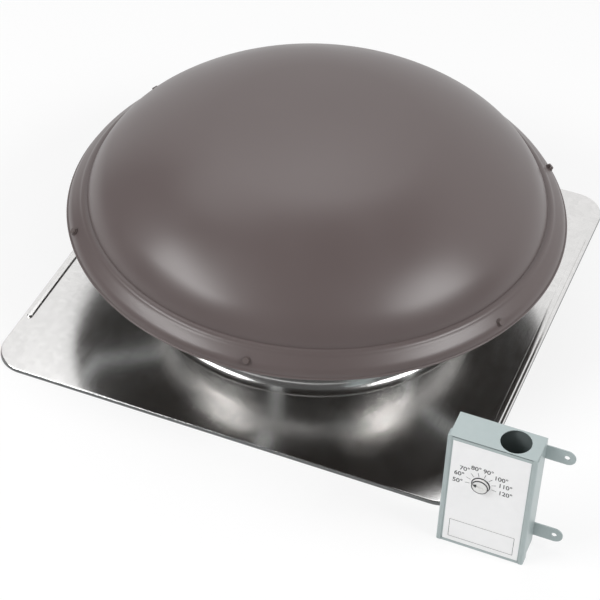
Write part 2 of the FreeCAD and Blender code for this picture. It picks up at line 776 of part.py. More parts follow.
def make_end_cap(label, level, upwards):
    """A cast end cap with a bearing seat, bolt holes and a ring of air slots."""
    cap = body(label + "_body")
    seat = bearing_radius + bearing_wall
    bore = bearing_radius + shaft_gap
    boss = cap_height - motor_sheet * 2
    spigot = motor_radius - motor_sheet - fit_gap
    inside = spigot - cap_spigot
    shoulder = cap_height - cap_lip
    profile = sketch_on(cap, label + "_profile", "XZ_Plane")
    corners = [
        (shaft_radius + shaft_room, 0),
        (motor_radius, 0),
        (motor_radius, shoulder),
        (spigot, shoulder),
        (spigot, cap_height),
        (inside, cap_height),
        (inside, cap_floor),
        (seat, cap_floor),
        (seat, boss),
        (bore, boss),
        (bore, boss - bearing_sunk),
        (shaft_radius + shaft_room, boss - bearing_sunk),
    ]
    draw(profile, corners)
    revolve(cap, label + "_turned", profile)
    slots = sketch_on(cap, label + "_slot", "XY_Plane")
    round_end = air_slot_width / 2 - full_round_spare
    rounded_box(slots, air_slot_length, air_slot_width, round_end, air_slot_radius)
    air = pocket(cap, label + "_air_slot", slots, 2 * cap_floor)
    polar(cap, label + "_air_slots", [air], air_slots)
    bolts = sketch_on(cap, label + "_bolt", "XY_Plane")
    ring(bolts, motor_bolt_radius + fit_gap, motor_bolt_circle)
    hole = pocket(cap, label + "_bolt_hole", bolts, cap_height)
    polar(cap, label + "_bolt_holes", [hole], arm_count)
    turn = Rotation(Vector(0, 0, 1), float(arm_first_angle))
    if not upwards:
        turn = turn * Rotation(Vector(1, 0, 0), 180)
    cap.Placement = Placement(Vector(0, 0, float(level)), turn)
    cap.setExpression("Placement.Base.z", level.text)
    node(cap, label)


def make_motor():
    """The motor's shell, caps, stator and windings, and the rotor on its shaft."""
    make_end_cap("motor_lower_cap", motor_bottom, True)
    make_end_cap("motor_upper_cap", motor_top, False)
    shell_level = motor_bottom + cap_height - cap_lip + fit_gap
    shell_height = motor_height - 2 * (cap_height - cap_lip + fit_gap)
    shell_bore = motor_radius - motor_sheet
    node(tube("motor_shell_tube", motor_radius, shell_bore, shell_height, shell_level), "motor_shell")
    middle = motor_bottom + motor_height / 2
    core = body("stator_body")
    core_sketch = sketch_on(core, "stator_outline", "XY_Plane", middle - stator_height / 2)
    ring(core_sketch, shell_bore - fit_gap)
    ring(core_sketch, stator_inner)
    pad(core, "stator_stack", core_sketch, stator_height)
    tooth = sketch_on(core, "stator_slot", "XY_Plane", middle - stator_height / 2)
    slot_at = stator_inner + stator_tooth + stator_slot_depth / 2
    rounded_box(tooth, stator_slot_depth, stator_slot_width, stator_slot_corner, slot_at)
    slot = pocket(core, "winding_slot", tooth, stator_height)
    polar(core, "winding_slots", [slot], stator_slots)
    node(core, "stator_core")
    coils = []
    for side in (-1, 1):
        face = middle + side * (stator_height / 2 + fit_gap)
        foot = Vector(0, 0, float(face - winding_height if side < 0 else face))
        coil = Part.makeCylinder(stator_inner + winding_reach, winding_height, foot)
        coil = coil.cut(Part.makeCylinder(stator_inner + winding_inset, winding_height, foot))
        edges = [edge for edge in coil.Edges if edge.isClosed()]
        coils.append(coil.makeFillet(float(winding_height) / 3, edges))
    group("stator_windings", coils)

    rotor_level = middle - stator_height / 2
    rotor = tube("rotor_lamination", stator_inner - air_gap, shaft_radius, stator_height, rotor_level)
    node(rotor, "rotor_core")
    seat = motor_bottom + cap_height - 2 * motor_sheet - bearing_sunk
    bore = shaft_radius + shaft_gap
    for label, level in (("lower_bearing", seat), ("upper_bearing", 2 * middle - seat - bearing_height)):
        node(tube(label + "_tube", bearing_radius, bore, bearing_height, level), label)


def round_edges(feature):
    """The names of a feature's edges that close on themselves."""
    return [f"Edge{i + 1}" for i, edge in enumerate(feature.Shape.Edges) if edge.isClosed()]


def make_shaft():
    """A ground steel shaft through rotor, both bearings and the fan's hub."""
    bottom = fan_level - hub_height - shaft_spare
    length = motor_top - shaft_spare - bottom
    shaft = body("motor_shaft_body")
    outline = ring(sketch_on(shaft, "shaft_outline", "XY_Plane", bottom), shaft_radius)
    bar = pad(shaft, "shaft_bar", outline, length)
    chamfer = shaft.newObject("PartDesign::Chamfer", "shaft_ends")
    chamfer.Base = (bar, round_edges(bar))
    bind(chamfer, "Size", shaft_chamfer)
    node(shaft, "motor_shaft")


def blade_section(name, radius, pitch, outer, thickness):
    """A cambered strip section, seen along the blade, hollow side up, turned to its pitch."""
    sketch = doc.addObject("Sketcher::SketchObject", name)
    across = Rotation(Vector(0, 1, 0), Vector(0, 0, 1), Vector(1, 0, 0), "XYZ")
    sketch.Placement = Placement(Vector(float(radius), 0, float(fan_level)), across)
    lean = math.asin(blade_blank / 2 / blade_camber)
    tilt = math.radians(pitch)
    run, climb = math.cos(tilt), math.sin(tilt)
    corners = []
    for camber, ends in ((outer, (-1, 1)), (outer - thickness, (1, -1))):
        for side in ends:
            x = side * camber * math.sin(lean)
            y = blade_camber - camber * math.cos(lean)
            corners.append((x * run - y * climb, x * climb + y * run))
    return draw(sketch, corners, {0: outer, 2: -(outer - thickness)})


def rivet_axes():
    """Where the rivets of the blade on the X axis go through, and which way they point."""
    start, end = spider_disc - blade_run_in, fan_radius + blade_run_out
    first, last = blade_root + rivet_edge, spider_reach - rivet_edge
    axes = []
    for i in range(rivets_per_blade):
        radius = first + (last - first) * i / (rivets_per_blade - 1)
        share = float((radius - start) / (end - start))
        tilts = [math.radians(pitch_root), math.radians(pitch_tip)]
        across = (1 - share) * math.cos(tilts[0]) + share * math.cos(tilts[1])
        up = (1 - share) * math.sin(tilts[0]) + share * math.sin(tilts[1])
        axes.append((Vector(float(radius), 0, float(fan_level)), Vector(0, -up, across).normalize()))
    return axes


def cambered_plate(name, outer, thickness, outline, angle):
    """A twisted plate: a straight loft from root to tip, trimmed to an outline and drilled."""
    loft = doc.addObject("Part::Loft", name + "_loft")
    loft.Sections = [
        blade_section(name + "_root", spider_disc - blade_run_in, pitch_root, outer, thickness),
        blade_section(name + "_tip", fan_radius + blade_run_out, pitch_tip, outer, thickness),
    ]
    loft.Solid = True
    loft.Ruled = True
    trim = doc.addObject("Part::Extrusion", name + "_trim")
    trim.Base = outline
    trim.DirMode = "Custom"
    trim.Dir = Vector(0, 0, 1)
    trim.Solid = True
    trim.Symmetric = True
    bind(trim, "LengthFwd", blade_trim_height)
    plate = doc.addObject("Part::Common", name + "_plate")
    plate.Base = loft
    plate.Tool = trim
    bar = drill(rivet_radius, 0, 0, 0)
    holes = feature_of(name + "_holes", [placed(bar, *axis) for axis in rivet_axes()])
    drilled = cut(name + "_drilled", plate, holes)
    drilled.Placement = Placement(Vector(), Rotation(Vector(0, 0, 1), angle))
    return drilled


def level_sketch(name, level):
    sketch = doc.addObject("Sketcher::SketchObject", name)
    sketch.Placement = Placement(Vector(0, 0, float(level)), Rotation())
    return sketch


def blade_outline(name):
    """The blade seen from above: narrow root, wide tip, round corners, the end an arc about the axis."""
    root, tip = blade_root_width / 2, blade_tip_width / 2
    reach = math.sqrt(fan_radius ** 2 - tip ** 2)
    flank = Vector(float(reach - blade_root), float(tip - root), 0).normalize()
    near = Vector(reach, float(tip), 0) - flank * float(blade_corner)
    half_angle = math.asin(tip / fan_radius) - blade_corner / fan_radius
    far = Vector(math.cos(half_angle), math.sin(half_angle), 0) * float(fan_radius)
    corners = [
        (blade_root, -root),
        (near.x, -near.y),
        (far.x, -far.y),
        (far.x, far.y),
        (near.x, near.y),
        (blade_root, root),
    ]
    bends = {1: blade_corner, 2: fan_radius, 3: blade_corner}
    return draw(level_sketch(name, fan_level), corners, bends)


def make_fan():
    """Four twisted blades riveted to the arms of a spider, on a hub with a set screw."""
    arms = []
    start = spider_disc - spider_overlap
    middle = (start + spider_reach) / 2
    for i in range(blade_count):
        angle = 360 * i / blade_count
        name = f"fan_blade_{i + 1}"
        outline = blade_outline(name + "_outline")
        node(cambered_plate(name, blade_camber - fit_gap, blade_sheet, outline, angle), name)
        name = f"spider_arm_{i + 1}"
        outline = level_sketch(name + "_outline", fan_level)
        rounded_box(outline, spider_reach - start, spider_arm_width, spider_arm_corner, middle)
        arms.append(cambered_plate(name, blade_camber + spider_sheet, spider_sheet, outline, angle))
    disc = cylinder("spider_disc_plate", spider_disc, spider_sheet, (0, 0, fan_level - spider_sheet))
    neck = hub_radius - hub_step
    seat_level = fan_level - spider_sheet - spider_disc
    hole = cylinder("spider_bore", neck + fit_gap, 2 * spider_disc, (0, 0, fan_level - spider_disc))
    seat = tube("spider_seat", hub_flange + fit_gap, neck, spider_disc, seat_level)
    crown = tube("spider_crown", hub_flange, neck, spider_disc, fan_level)
    star = fuse("spider_star", [disc] + arms)
    cleared = cut("spider_cleared", star, fuse("spider_cutters", [hole, seat, crown]))
    node(cleared, "fan_spider")

    hub = body("fan_hub_body")
    bottom = fan_level - hub_height
    under = fan_level - spider_sheet - fit_gap
    bore = shaft_radius + shaft_gap
    corners = [
        (bore, bottom),
        (hub_radius, bottom),
        (hub_radius, under - hub_step),
        (hub_flange, under - hub_step),
        (hub_flange, under),
        (neck, under),
        (neck, fan_level + hub_step),
        (bore, fan_level + hub_step),
    ]
    revolve(hub, "hub_turned", draw(sketch_on(hub, "hub_profile", "XZ_Plane"), corners))
    screw_level = bottom + hub_height / 3
    tapped = sketch_on(hub, "set_screw_hole", "YZ_Plane")
    ring(tapped, set_screw_radius + fit_gap, 0, screw_level)
    pocket(hub, "hub_drilled", tapped, hub_flange)
    node(hub, "fan_hub")
    outwards = Vector(1, 0, 0)
    inner_end = Vector(float(bore), 0, float(screw_level))
    socket_at = Vector(float(hub_radius - socket_depth), 0, float(screw_level))
    screw = Part.makeCylinder(set_screw_radius, hub_radius - bore, inner_end, outwards)
    socket = placed(hex_prism(set_screw_radius, socket_depth), socket_at, outwards)
    group("hub_set_screw", [screw.cut(socket)])

    pin = rivet(spider_sheet + blade_sheet + 3 * fit_gap)
    pin.translate(Vector(0, 0, -float(spider_sheet + fit_gap)))
    pins = []
    for axis in rivet_axes():
        pins += around(blade_count, 0, placed(pin, *axis))
    group("blade_rivets", pins)


def block(name, corner, extent):
    """A box from its lowest corner, each side tied to the sheet."""
    box = doc.addObject("Part::Box", name)
    for side, value in zip(("Length", "Width", "Height"), extent):
        bind(box, side, value)
    box.Placement = Placement(Vector(*[float(v) for v in corner]), Rotation())
    for letter, value in zip("xyz", corner):
        if isinstance(value, Size) and "Sizes." in value.text:
            box.setExpression(f"Placement.Base.{letter}", value.text)
    return box


def forward(name, radius, depth, x, y, z):
    """A round bar or hole along Y that starts at y and runs to the back."""
    return cylinder(name, radius, depth, (x, y, z), Rotation(Vector(1, 0, 0), -90))


def make_case():
    """The thermostat's folded box with two mounting ears, and its cover with folded edges."""
    front, back = -case_front, case_depth - case_front
    right = case_left + case_width
    hollow = case_width - 2 * case_sheet
    outer = block("case_outer", (case_left, front + case_sheet + fit_gap, 0),
                  (case_width, case_depth - case_sheet - fit_gap, case_height))
    inner = block("case_inner", (case_left + case_sheet, front, case_sheet),
                  (hollow, case_depth - case_sheet, case_height - 2 * case_sheet))
    entry_x = case_left + wiring_hole_offset
    entry_y = front + (case_depth + case_sheet) / 2
    entry_z = case_height - 2 * case_sheet
    entry = cylinder("wiring_hole", wiring_hole, 4 * case_sheet, (entry_x, entry_y, entry_z))
    tray = cut("case_tray", outer, fuse("case_hollows", [inner, entry]))
    ears = []
    drills = []
    for name, level in (("lower_ear", ear_inset), ("upper_ear", case_height - ear_inset)):
        plate = doc.addObject("Sketcher::SketchObject", name + "_outline")
        plate.Placement = Placement(Vector(0, float(back), 0), Rotation(Vector(1, 0, 0), 90))
        rounded_box(plate, 2 * ear_length, ear_width, ear_width / 2 - full_round_spare, right, level)
        ear = doc.addObject("Part::Extrusion", name)
        ear.Base = plate
        ear.DirMode = "Custom"
        ear.Dir = Vector(0, -1, 0)
        ear.Solid = True
        bind(ear, "LengthFwd", case_sheet)
        ears.append(ear)
        hole_x = right + ear_length - ear_width / 2
        hole_y = back - 2 * case_sheet
        drills.append(forward(name + "_hole", ear_hole, 4 * case_sheet, hole_x, hole_y, level))
    eared = fuse("case_with_ears", [tray] + ears)
    node(cut("case_drilled", eared, fuse("ear_holes", drills)), "thermostat_box")

    skirt = case_sheet + fit_gap
    left_side, right_side = case_left - skirt, right + skirt
    path = doc.addObject("Sketcher::SketchObject", "cover_path")
    corners = [
        (left_side, front + cover_skirt),
        (left_side, front),
        (right_side, front),
        (right_side, front + cover_skirt),
    ]
    draw(path, corners, closed=False)
    channel = doc.addObject("Part::Extrusion", "cover_channel")
    channel.Base = sheet_section("cover_section", path, case_sheet, Vector(0, 1, 0))
    channel.DirMode = "Custom"
    channel.Dir = Vector(0, 0, 1)
    channel.Solid = True
    bind(channel, "LengthFwd", case_height)
    folds = []
    fold_radius = float(fold_round)
    fold_size = (edge_fold, case_sheet, case_height + corner_lift)
    for name, x in (("left_fold", left_side), ("right_fold", right_side - edge_fold)):
        fold = block(name, (x, front - case_sheet, 0), fold_size)
        rounded = doc.addObject("Part::Fillet", name + "_rounded")
        rounded.Base = fold
        doc.recompute()
        for i, edge in enumerate(fold.Shape.Edges):
            if edge.Length > case_height and edge.CenterOfMass.y < front - case_sheet / 2:
                rounded.Edges = rounded.Edges + [(i + 1, fold_radius, fold_radius)]
        folds.append(rounded)
    strip_size = (right_side - left_side, case_sheet / 2, edge_fold / 2)
    for name, level in (("lower_fold", 0), ("upper_fold", case_height - edge_fold / 2)):
        folds.append(block(name, (left_side, front - case_sheet / 2, level), strip_size))
    dial_x = case_left + dial_across
    hole_size = (4 * case_sheet, dial_x, front - case_sheet, dial_rise)
    bush_hole = forward("bush_hole", bush_radius + fit_gap, *hole_size)
    node(cut("cover_drilled", fuse("cover_folded", [channel] + folds), bush_hole), "thermostat_cover")

    margin = edge_fold + fit_gap
    label_corner = (left_side + margin, front - label_sheet, edge_fold / 2 + fit_gap)
    label_height = case_height - edge_fold - 2 * fit_gap
    label_size = (right_side - left_side - 2 * margin, label_sheet, label_height)
    label = block("label_sheet", label_corner, label_size)
    hole = forward("label_hole", bush_flange_radius + 2 * fit_gap, *hole_size)
    node(cut("label_pierced", label, hole), "label_plate")


def make_dial():
    """The screwdriver dial, its threaded spindle in a bush, and the nut that the thread moves."""
    front = -case_front
    dial_x = case_left + dial_across
    dial = body("dial_body")
    outline = ring(sketch_on(dial, "dial_outline", "XY_Plane"), dial_radius)
    disc = pad(dial, "dial_disc", outline, dial_depth)
    chamfer = dial.newObject("PartDesign::Chamfer", "dial_edge")
    edges = enumerate(disc.Shape.Edges)
    top = [i for i, edge in edges if edge.isClosed() and edge.CenterOfMass.z > dial_depth / 2]
    chamfer.Base = (disc, [f"Edge{i + 1}" for i in top])
    bind(chamfer, "Size", dial_chamfer)
    doc.recompute()
    slot = sketch_on(dial, "dial_slot", "XY_Plane", dial_depth)
    rounded_box(slot, dial_slot_length, dial_slot_width, dial_slot_corner)
    pocket(dial, "dial_slotted", slot, dial_depth / 2, up=False)
    arrow = sketch_on(dial, "pointer", "XY_Plane", dial_depth)
    tip = dial_radius - pointer_inset
    foot = tip - pointer_length
    draw(arrow, [(tip, 0), (foot, pointer_width / 2), (foot, -pointer_width / 2)])
    pocket(dial, "dial_marked", arrow, pointer_depth, up=False)
    facing = Rotation(Vector(1, 0, 0), 90) * Rotation(Vector(0, 0, 1), float(dial_rest_angle))
    face = front - bush_flange_height - 2 * fit_gap
    dial.Placement = Placement(Vector(float(dial_x), float(face), float(dial_rise)), facing)
    node(dial, "dial")

    at = (dial_x, front - fit_gap, dial_rise)
    shank = forward("bush_shank", bush_radius, bush_length, *at)
    at = (dial_x, front - bush_flange_height - fit_gap, dial_rise)
    flange = forward("bush_flange", bush_flange_radius, bush_flange_height, *at)
    at = (dial_x, front - bush_length, dial_rise)
    bore = forward("bush_bore", spindle_radius + shaft_gap, 3 * bush_length, *at)
    node(cut("bush_bored", fuse("bush_turned", [shank, flange]), bore), "spindle_bush")
    spindle = forward("spindle_bar", spindle_radius, spindle_length, dial_x, face, dial_rise)
    node(spindle, "dial_spindle")
    clip_at = front + bush_length + fit_gap
    disc = forward("clip_disc", spindle_radius + clip_width, clip_sheet, dial_x, clip_at, dial_rise)
    at = (dial_x, clip_at - clip_sheet, dial_rise)
    bore = forward("clip_bore", spindle_radius, 3 * clip_sheet, *at)
    node(cut("clip_ring", disc, bore), "spindle_clip")
    nut_at = face + spindle_length - nut_depth - nut_inset
    nut = feature_of("range_nut_blank", [hex_prism(nut_across, nut_depth)])
    spot = Vector(float(dial_x), float(nut_at), float(dial_rise))
    nut.Placement = Placement(spot, Rotation(Vector(1, 0, 0), -90))
    at = (dial_x, nut_at - nut_depth, dial_rise)
    thread = forward("nut_thread", spindle_radius + shaft_gap, 3 * nut_depth, *at)
    node(cut("range_nut_tapped", nut, thread), "range_nut")


def make_switch():
    """The snap switch on the back of the box, its terminals, and the strip that feels the heat."""
    back = case_depth - case_front - case_sheet
    dial_x = case_left + dial_across
    face = back - switch_depth - fit_gap
    low = dial_rise - switch_drop
    switch_size = (switch_width, switch_depth, switch_height)
    case = block("switch_block", (dial_x - switch_width / 2, face, low), switch_size)
    rounded = doc.addObject("Part::Fillet", "switch_rounded")
    rounded.Base = case
    doc.recompute()
    radius = float(switch_round)
    for i, edge in enumerate(case.Shape.Edges):
        if edge.CenterOfMass.y < face + fit_gap:
            rounded.Edges = rounded.Edges + [(i + 1, radius, radius)]
    node(rounded, "switch_body")
    strip_corner = (dial_x - strip_width / 2, face - strip_sheet - fit_gap, dial_rise - strip_drop)
    node(block("strip_plate", strip_corner, (strip_width, strip_sheet, strip_length)), "bimetal_strip")
    plates = []
    screws = []
    into = Vector(0, 1, 0)
    tab_face = float(face - terminal_sheet - fit_gap)
    head_face = tab_face - float(terminal_head_height + fit_gap)
    for side in (-1, 1):
        x = float(dial_x + side * switch_width / 4)
        screw_level = float(low - terminal_screw_drop)
        corner = Vector(x - float(terminal_width / 2), tab_face, float(low - terminal_drop))
        tab = Part.makeBox(terminal_width, terminal_sheet, terminal_length, corner)
        hole_from = Vector(x, head_face, screw_level)
        plates.append(tab.cut(Part.makeCylinder(terminal_screw + fit_gap, terminal_shank, hole_from, into)))
        head = Part.makeCylinder(terminal_head, terminal_head_height, hole_from, into)
        length = terminal_head_height + terminal_shank
        shank = Part.makeCylinder(terminal_screw, length, hole_from, into)
        screws.append(head.fuse(shank).removeSplitter())
    group("switch_terminals", plates)
    group("terminal_screws", screws)


make_flashing()
make_dome()
make_brackets()
make_screen()
make_motor_arms()
make_motor()
make_shaft()
make_fan()
make_case()
make_dial()
make_switch()

doc.recompute()
for item in doc.Objects:
    if "Invalid" in item.State or "Error" in item.State:
        raise RuntimeError(f"{item.Name} failed: {item.State}")
for item in parts:
    if item.Shape.isNull() or not item.Shape.isValid():
        raise RuntimeError(f"{item.Label} has no valid shape")
os.makedirs("parts", exist_ok=True)
for item in parts:
    item.Shape.exportStep(f"parts/{item.Label}.step")
    print(item.Label, round(item.Shape.Volume), len(item.Shape.Solids))
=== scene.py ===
import math

import bmesh
import bpy
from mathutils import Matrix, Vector


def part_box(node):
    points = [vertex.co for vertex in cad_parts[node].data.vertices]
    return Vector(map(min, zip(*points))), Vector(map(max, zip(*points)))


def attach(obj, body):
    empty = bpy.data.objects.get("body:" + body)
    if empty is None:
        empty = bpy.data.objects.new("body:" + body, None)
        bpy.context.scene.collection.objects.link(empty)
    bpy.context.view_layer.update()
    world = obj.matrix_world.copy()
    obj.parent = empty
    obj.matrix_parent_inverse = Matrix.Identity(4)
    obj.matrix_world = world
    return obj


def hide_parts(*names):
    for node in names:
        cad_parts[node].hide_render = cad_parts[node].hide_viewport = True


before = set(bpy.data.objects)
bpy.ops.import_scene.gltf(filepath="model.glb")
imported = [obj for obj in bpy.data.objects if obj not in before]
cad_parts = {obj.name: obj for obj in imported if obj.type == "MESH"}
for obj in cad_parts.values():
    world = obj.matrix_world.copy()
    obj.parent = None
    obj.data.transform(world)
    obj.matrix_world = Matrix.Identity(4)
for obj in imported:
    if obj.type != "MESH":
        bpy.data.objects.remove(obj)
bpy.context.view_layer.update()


# Camera: the photograph was taken with a long lens from the front right, looking down at about
# 42 degrees. Place, turn and focal length come from fitting the flashing's edges and the dome's rim.
camera_data = bpy.data.cameras.new("photo_camera")
camera_data.sensor_width = 36
camera_data.lens = 124.3
camera = bpy.data.objects.new("photo_camera", camera_data)
camera.location = (0.6770, -1.8711, 1.7666)
camera.rotation_euler = [math.radians(angle) for angle in (47.794, -1.856, 22.046)]
bpy.context.scene.collection.objects.link(camera)
bpy.context.scene.camera = camera
bpy.context.scene.view_settings.view_transform = "Standard"


# Light: a white product table before a white wall, in a room that is dark overhead and on the
# camera's side, with one soft lamp high at the left, one at the right and a broad one behind. Table
# and wall are white to the eye and to reflections, and the table keeps a faint shadow.
def linear(code):
    """A hex colour as linear red, green, blue and alpha."""
    parts = [int(code[i:i + 2], 16) / 255 for i in (1, 3, 5)]
    return [p / 12.92 if p <= 0.04045 else ((p + 0.055) / 1.055) ** 2.4 for p in parts] + [1]


def add(tree, kind, inputs=None, **settings):
    """One shader node with its settings, and its inputs as values or as links."""
    made = tree.nodes.new(kind)
    for name, value in settings.items():
        setattr(made, name, value)
    for name, value in (inputs or {}).items():
        if isinstance(value, bpy.types.NodeSocket):
            tree.links.new(value, made.inputs[name])
        else:
            made.inputs[name].default_value = value
    return made


def seen_directly(tree):
    """1 where the eye, a reflection or a clear piece meets the surface, 0 where it lights others."""
    path = add(tree, "ShaderNodeLightPath")
    camera_ray, glossy_ray = path.outputs["Is Camera Ray"], path.outputs["Is Glossy Ray"]
    either = add(tree, "ShaderNodeMath", {0: camera_ray, 1: glossy_ray}, operation="MAXIMUM")
    through = path.outputs["Is Transmission Ray"]
    return add(tree, "ShaderNodeMath", {0: either.outputs[0], 1: through}, operation="MAXIMUM").outputs[0]


world = bpy.data.worlds.new("pale_room")
bpy.context.scene.world = world
world.use_nodes = True
room = world.node_tree
room.nodes.clear()
# Z is 1 straight up and Y is 1 straight back: the ceiling darkens upwards, the wall whitens backwards.
outward = add(room, "ShaderNodeTexCoord")
axes = add(room, "ShaderNodeSeparateXYZ", {0: outward.outputs["Generated"]})
ceiling = add(room, "ShaderNodeMapRange", {"Value": axes.outputs["Z"], "From Min": 0.74, "From Max": 0.86,
                                           "To Min": 1.0, "To Max": 0.25}, interpolation_type="SMOOTHSTEP")
wall = add(room, "ShaderNodeMapRange", {"Value": axes.outputs["Y"], "From Min": 0.25, "From Max": 0.6,
                                        "To Min": 0.1, "To Max": 1.0}, interpolation_type="SMOOTHSTEP")
pale = add(room, "ShaderNodeMath", {0: ceiling.outputs[0], 1: wall.outputs[0]}, operation="MULTIPLY")
eye = add(room, "ShaderNodeLightPath")
white = add(room, "ShaderNodeMath", {0: pale.outputs[0], 1: eye.outputs["Is Camera Ray"]},
            operation="MAXIMUM")
fill = add(room, "ShaderNodeBackground", {"Color": linear("#f1f1f2"), "Strength": 0.42})
backdrop = add(room, "ShaderNodeBackground", {"Color": (1, 1, 1, 1), "Strength": white.outputs[0]})
mixed = add(room, "ShaderNodeMixShader",
            {0: seen_directly(room), 1: fill.outputs[0], 2: backdrop.outputs[0]})
add(room, "ShaderNodeOutputWorld", {"Surface": mixed.outputs[0]})


lamp_target = Vector((0, 0, 0.1))


def soft_lamp(name, place, width, height, watts):
    """A rectangular studio lamp that faces the ventilator."""
    data = bpy.data.lights.new(name, "AREA")
    data.shape = "RECTANGLE"
    data.size = width
    data.size_y = height
    data.energy = watts
    lamp = bpy.data.objects.new(name, data)
    lamp.location = place
    lamp.rotation_euler = (lamp_target - Vector(place)).to_track_quat("-Z", "Y").to_euler()
    bpy.context.scene.collection.objects.link(lamp)


soft_lamp("left_softbox", (-1.56, -1.46, 1.80), 1.7, 0.6, 37)
soft_lamp("right_softbox", (2.10, -0.25, 1.84), 1.3, 0.8, 38)
soft_lamp("back_softbox", (-0.88, 0.92, 2.34), 2.2, 1.0, 12)

table_size, table_glow = 12, 0.75
bpy.ops.mesh.primitive_plane_add(size=table_size)
table = bpy.context.object
table.name = "white_table"
table_paint = bpy.data.materials.new("white_table_paint")
table_paint.use_nodes = True
tree = table_paint.node_tree
lit = tree.nodes["Principled BSDF"]
lit.inputs["Base Color"].default_value = linear("#f4f4f4")
lit.inputs["Roughness"].default_value = 0.9
glow = add(tree, "ShaderNodeEmission", {"Color": (1, 1, 1, 1), "Strength": 1.0})
share = add(tree, "ShaderNodeMath", {0: seen_directly(tree), 1: table_glow}, operation="MULTIPLY")
blend = add(tree, "ShaderNodeMixShader", {0: share.outputs[0], 1: lit.outputs[0], 2: glow.outputs[0]})
tree.links.new(blend.outputs[0], tree.nodes["Material Output"].inputs["Surface"])
table.data.materials.append(table_paint)


# Flashing: a square pan of galvanised sheet 1 mm thick, its edge folded down to a lip that lies on
# the roof deck. Its middle is drawn up into the round throat: a foot with an upright step, a narrower
# neck and an outward rim. A long rib is stamped along its left and right sides.
mm = 0.001
weld_gap = 0.01 * mm
near = 0.1 * mm


def begin():
    """Object mode with nothing selected, so that the next operator finds only its own piece."""
    if bpy.context.mode != "OBJECT":
        bpy.ops.object.mode_set(mode="OBJECT")
    bpy.ops.object.select_all(action="DESELECT")


def choose(kind, test):
    """In edit mode, select only the vertices, edges or faces whose middle passes the test."""
    bpy.ops.mesh.select_mode(type=kind)
    bpy.ops.mesh.select_all(action="DESELECT")
    shape = bmesh.from_edit_mesh(bpy.context.object.data)
    for item in {"VERT": shape.verts, "EDGE": shape.edges, "FACE": shape.faces}[kind]:
        corners = [item] if kind == "VERT" else item.verts
        if test(sum((corner.co for corner in corners), Vector()) / len(corners)):
            item.select_set(True)
    shape.select_flush_mode()
    if kind == "VERT":
        shape.select_flush(True)
    bmesh.update_edit_mesh(bpy.context.object.data)


def extrude(x=0, y=0, z=0, scale=1):
    """Extrude the selection by a step in millimetres, then widen or narrow it about the Z axis."""
    bpy.ops.mesh.extrude_region_move(TRANSFORM_OT_translate={"value": (x * mm, y * mm, z * mm)})
    if scale != 1:
        bpy.ops.transform.resize(value=(scale, scale, 1), center_override=(0, 0, 0))


def modify(piece, kind, **settings):
    """Add a modifier, set it and apply it."""
    begin()
    piece.select_set(True)
    bpy.context.view_layer.objects.active = piece
    item = piece.modifiers.new(kind.lower(), kind)
    for name, value in settings.items():
        setattr(item, name, value)
    bpy.ops.object.modifier_apply(modifier=item.name)


def complete(piece, name, body, slot, material, *replaced, smooth=30):
    """Name a finished mesh, smooth its soft edges, dress it and hang it on its body."""
    begin()
    piece.select_set(True)
    bpy.context.view_layer.objects.active = piece
    bpy.ops.object.transform_apply(location=True, rotation=True, scale=True)
    bpy.ops.object.shade_smooth_by_angle(angle=math.radians(smooth))
    piece.name = name
    if not piece.data.materials:
        piece.data.materials.append(material)
    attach(piece, body)
    if replaced:
        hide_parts(*replaced)


def arc(start, end, radius, steps):
    """Points after start on the short arc to end, turning left where radius is positive."""
    middle = Vector(((start[0] + end[0]) / 2, (start[1] + end[1]) / 2))
    chord = Vector((end[0] - start[0], end[1] - start[1]))
    reach = math.sqrt(radius ** 2 - chord.length_squared / 4)
    side = Vector((-chord.y, chord.x)).normalized() * math.copysign(reach, radius)
    centre = middle + side
    first = math.atan2(start[1] - centre.y, start[0] - centre.x)
    turn = 2 * math.asin(chord.length / 2 / radius)
    angles = [first + turn * (i + 1) / steps for i in range(steps)]
    return [(centre.x + abs(radius) * math.cos(a), centre.y + abs(radius) * math.sin(a)) for a in angles]


def finish(name, code, metallic, roughness):
    """A new material with its plain values on the shader's own sockets."""
    made = bpy.data.materials.new(name)
    made.use_nodes = True
    shader = made.node_tree.nodes["Principled BSDF"]
    shader.inputs["Base Color"].default_value = linear(code)
    shader.inputs["Metallic"].default_value = metallic
    shader.inputs["Roughness"].default_value = roughness
    return made


def link(material, name, socket):
    """Feed one input of a material's shader."""
    material.node_tree.links.new(socket, material.node_tree.nodes["Principled BSDF"].inputs[name])


# Galvanised sheet, bright rolled: nearly a mirror, with the faint spangle of the zinc (crystals of
# about 7 mm), rolling lines along Y, drawn 1 mm apart and so coarser than real ones, and a slight
# waviness of the thin sheet over 90 mm.
galvanised = finish("galvanised_sheet_rolled", "#dfdddc", 1, 0.2)
tree = galvanised.node_tree
spot = add(tree, "ShaderNodeTexCoord").outputs["Object"]
crystals = add(tree, "ShaderNodeTexVoronoi", {"Vector": spot, "Scale": 140, "Randomness": 1.0},
               feature="F1")
cell = add(tree, "ShaderNodeSeparateColor", {0: crystals.outputs["Color"]})
lined = add(tree, "ShaderNodeMapping", {"Vector": spot, "Scale": (1, 0.02, 1)})
lines = add(tree, "ShaderNodeTexNoise",
            {"Vector": lined.outputs[0], "Scale": 900, "Detail": 2, "Roughness": 0.6})
smears = add(tree, "ShaderNodeTexNoise", {"Vector": spot, "Scale": 16, "Detail": 3, "Roughness": 0.55})
tint = add(tree, "ShaderNodeMix", {0: cell.outputs[0], 6: linear("#dddcdb"), 7: linear("#e3e2e1")},
           data_type="RGBA")
link(galvanised, "Base Color", tint.outputs[2])
rubbed = add(tree, "ShaderNodeMath", {0: lines.outputs[0], 1: smears.outputs[0]}, operation="ADD")
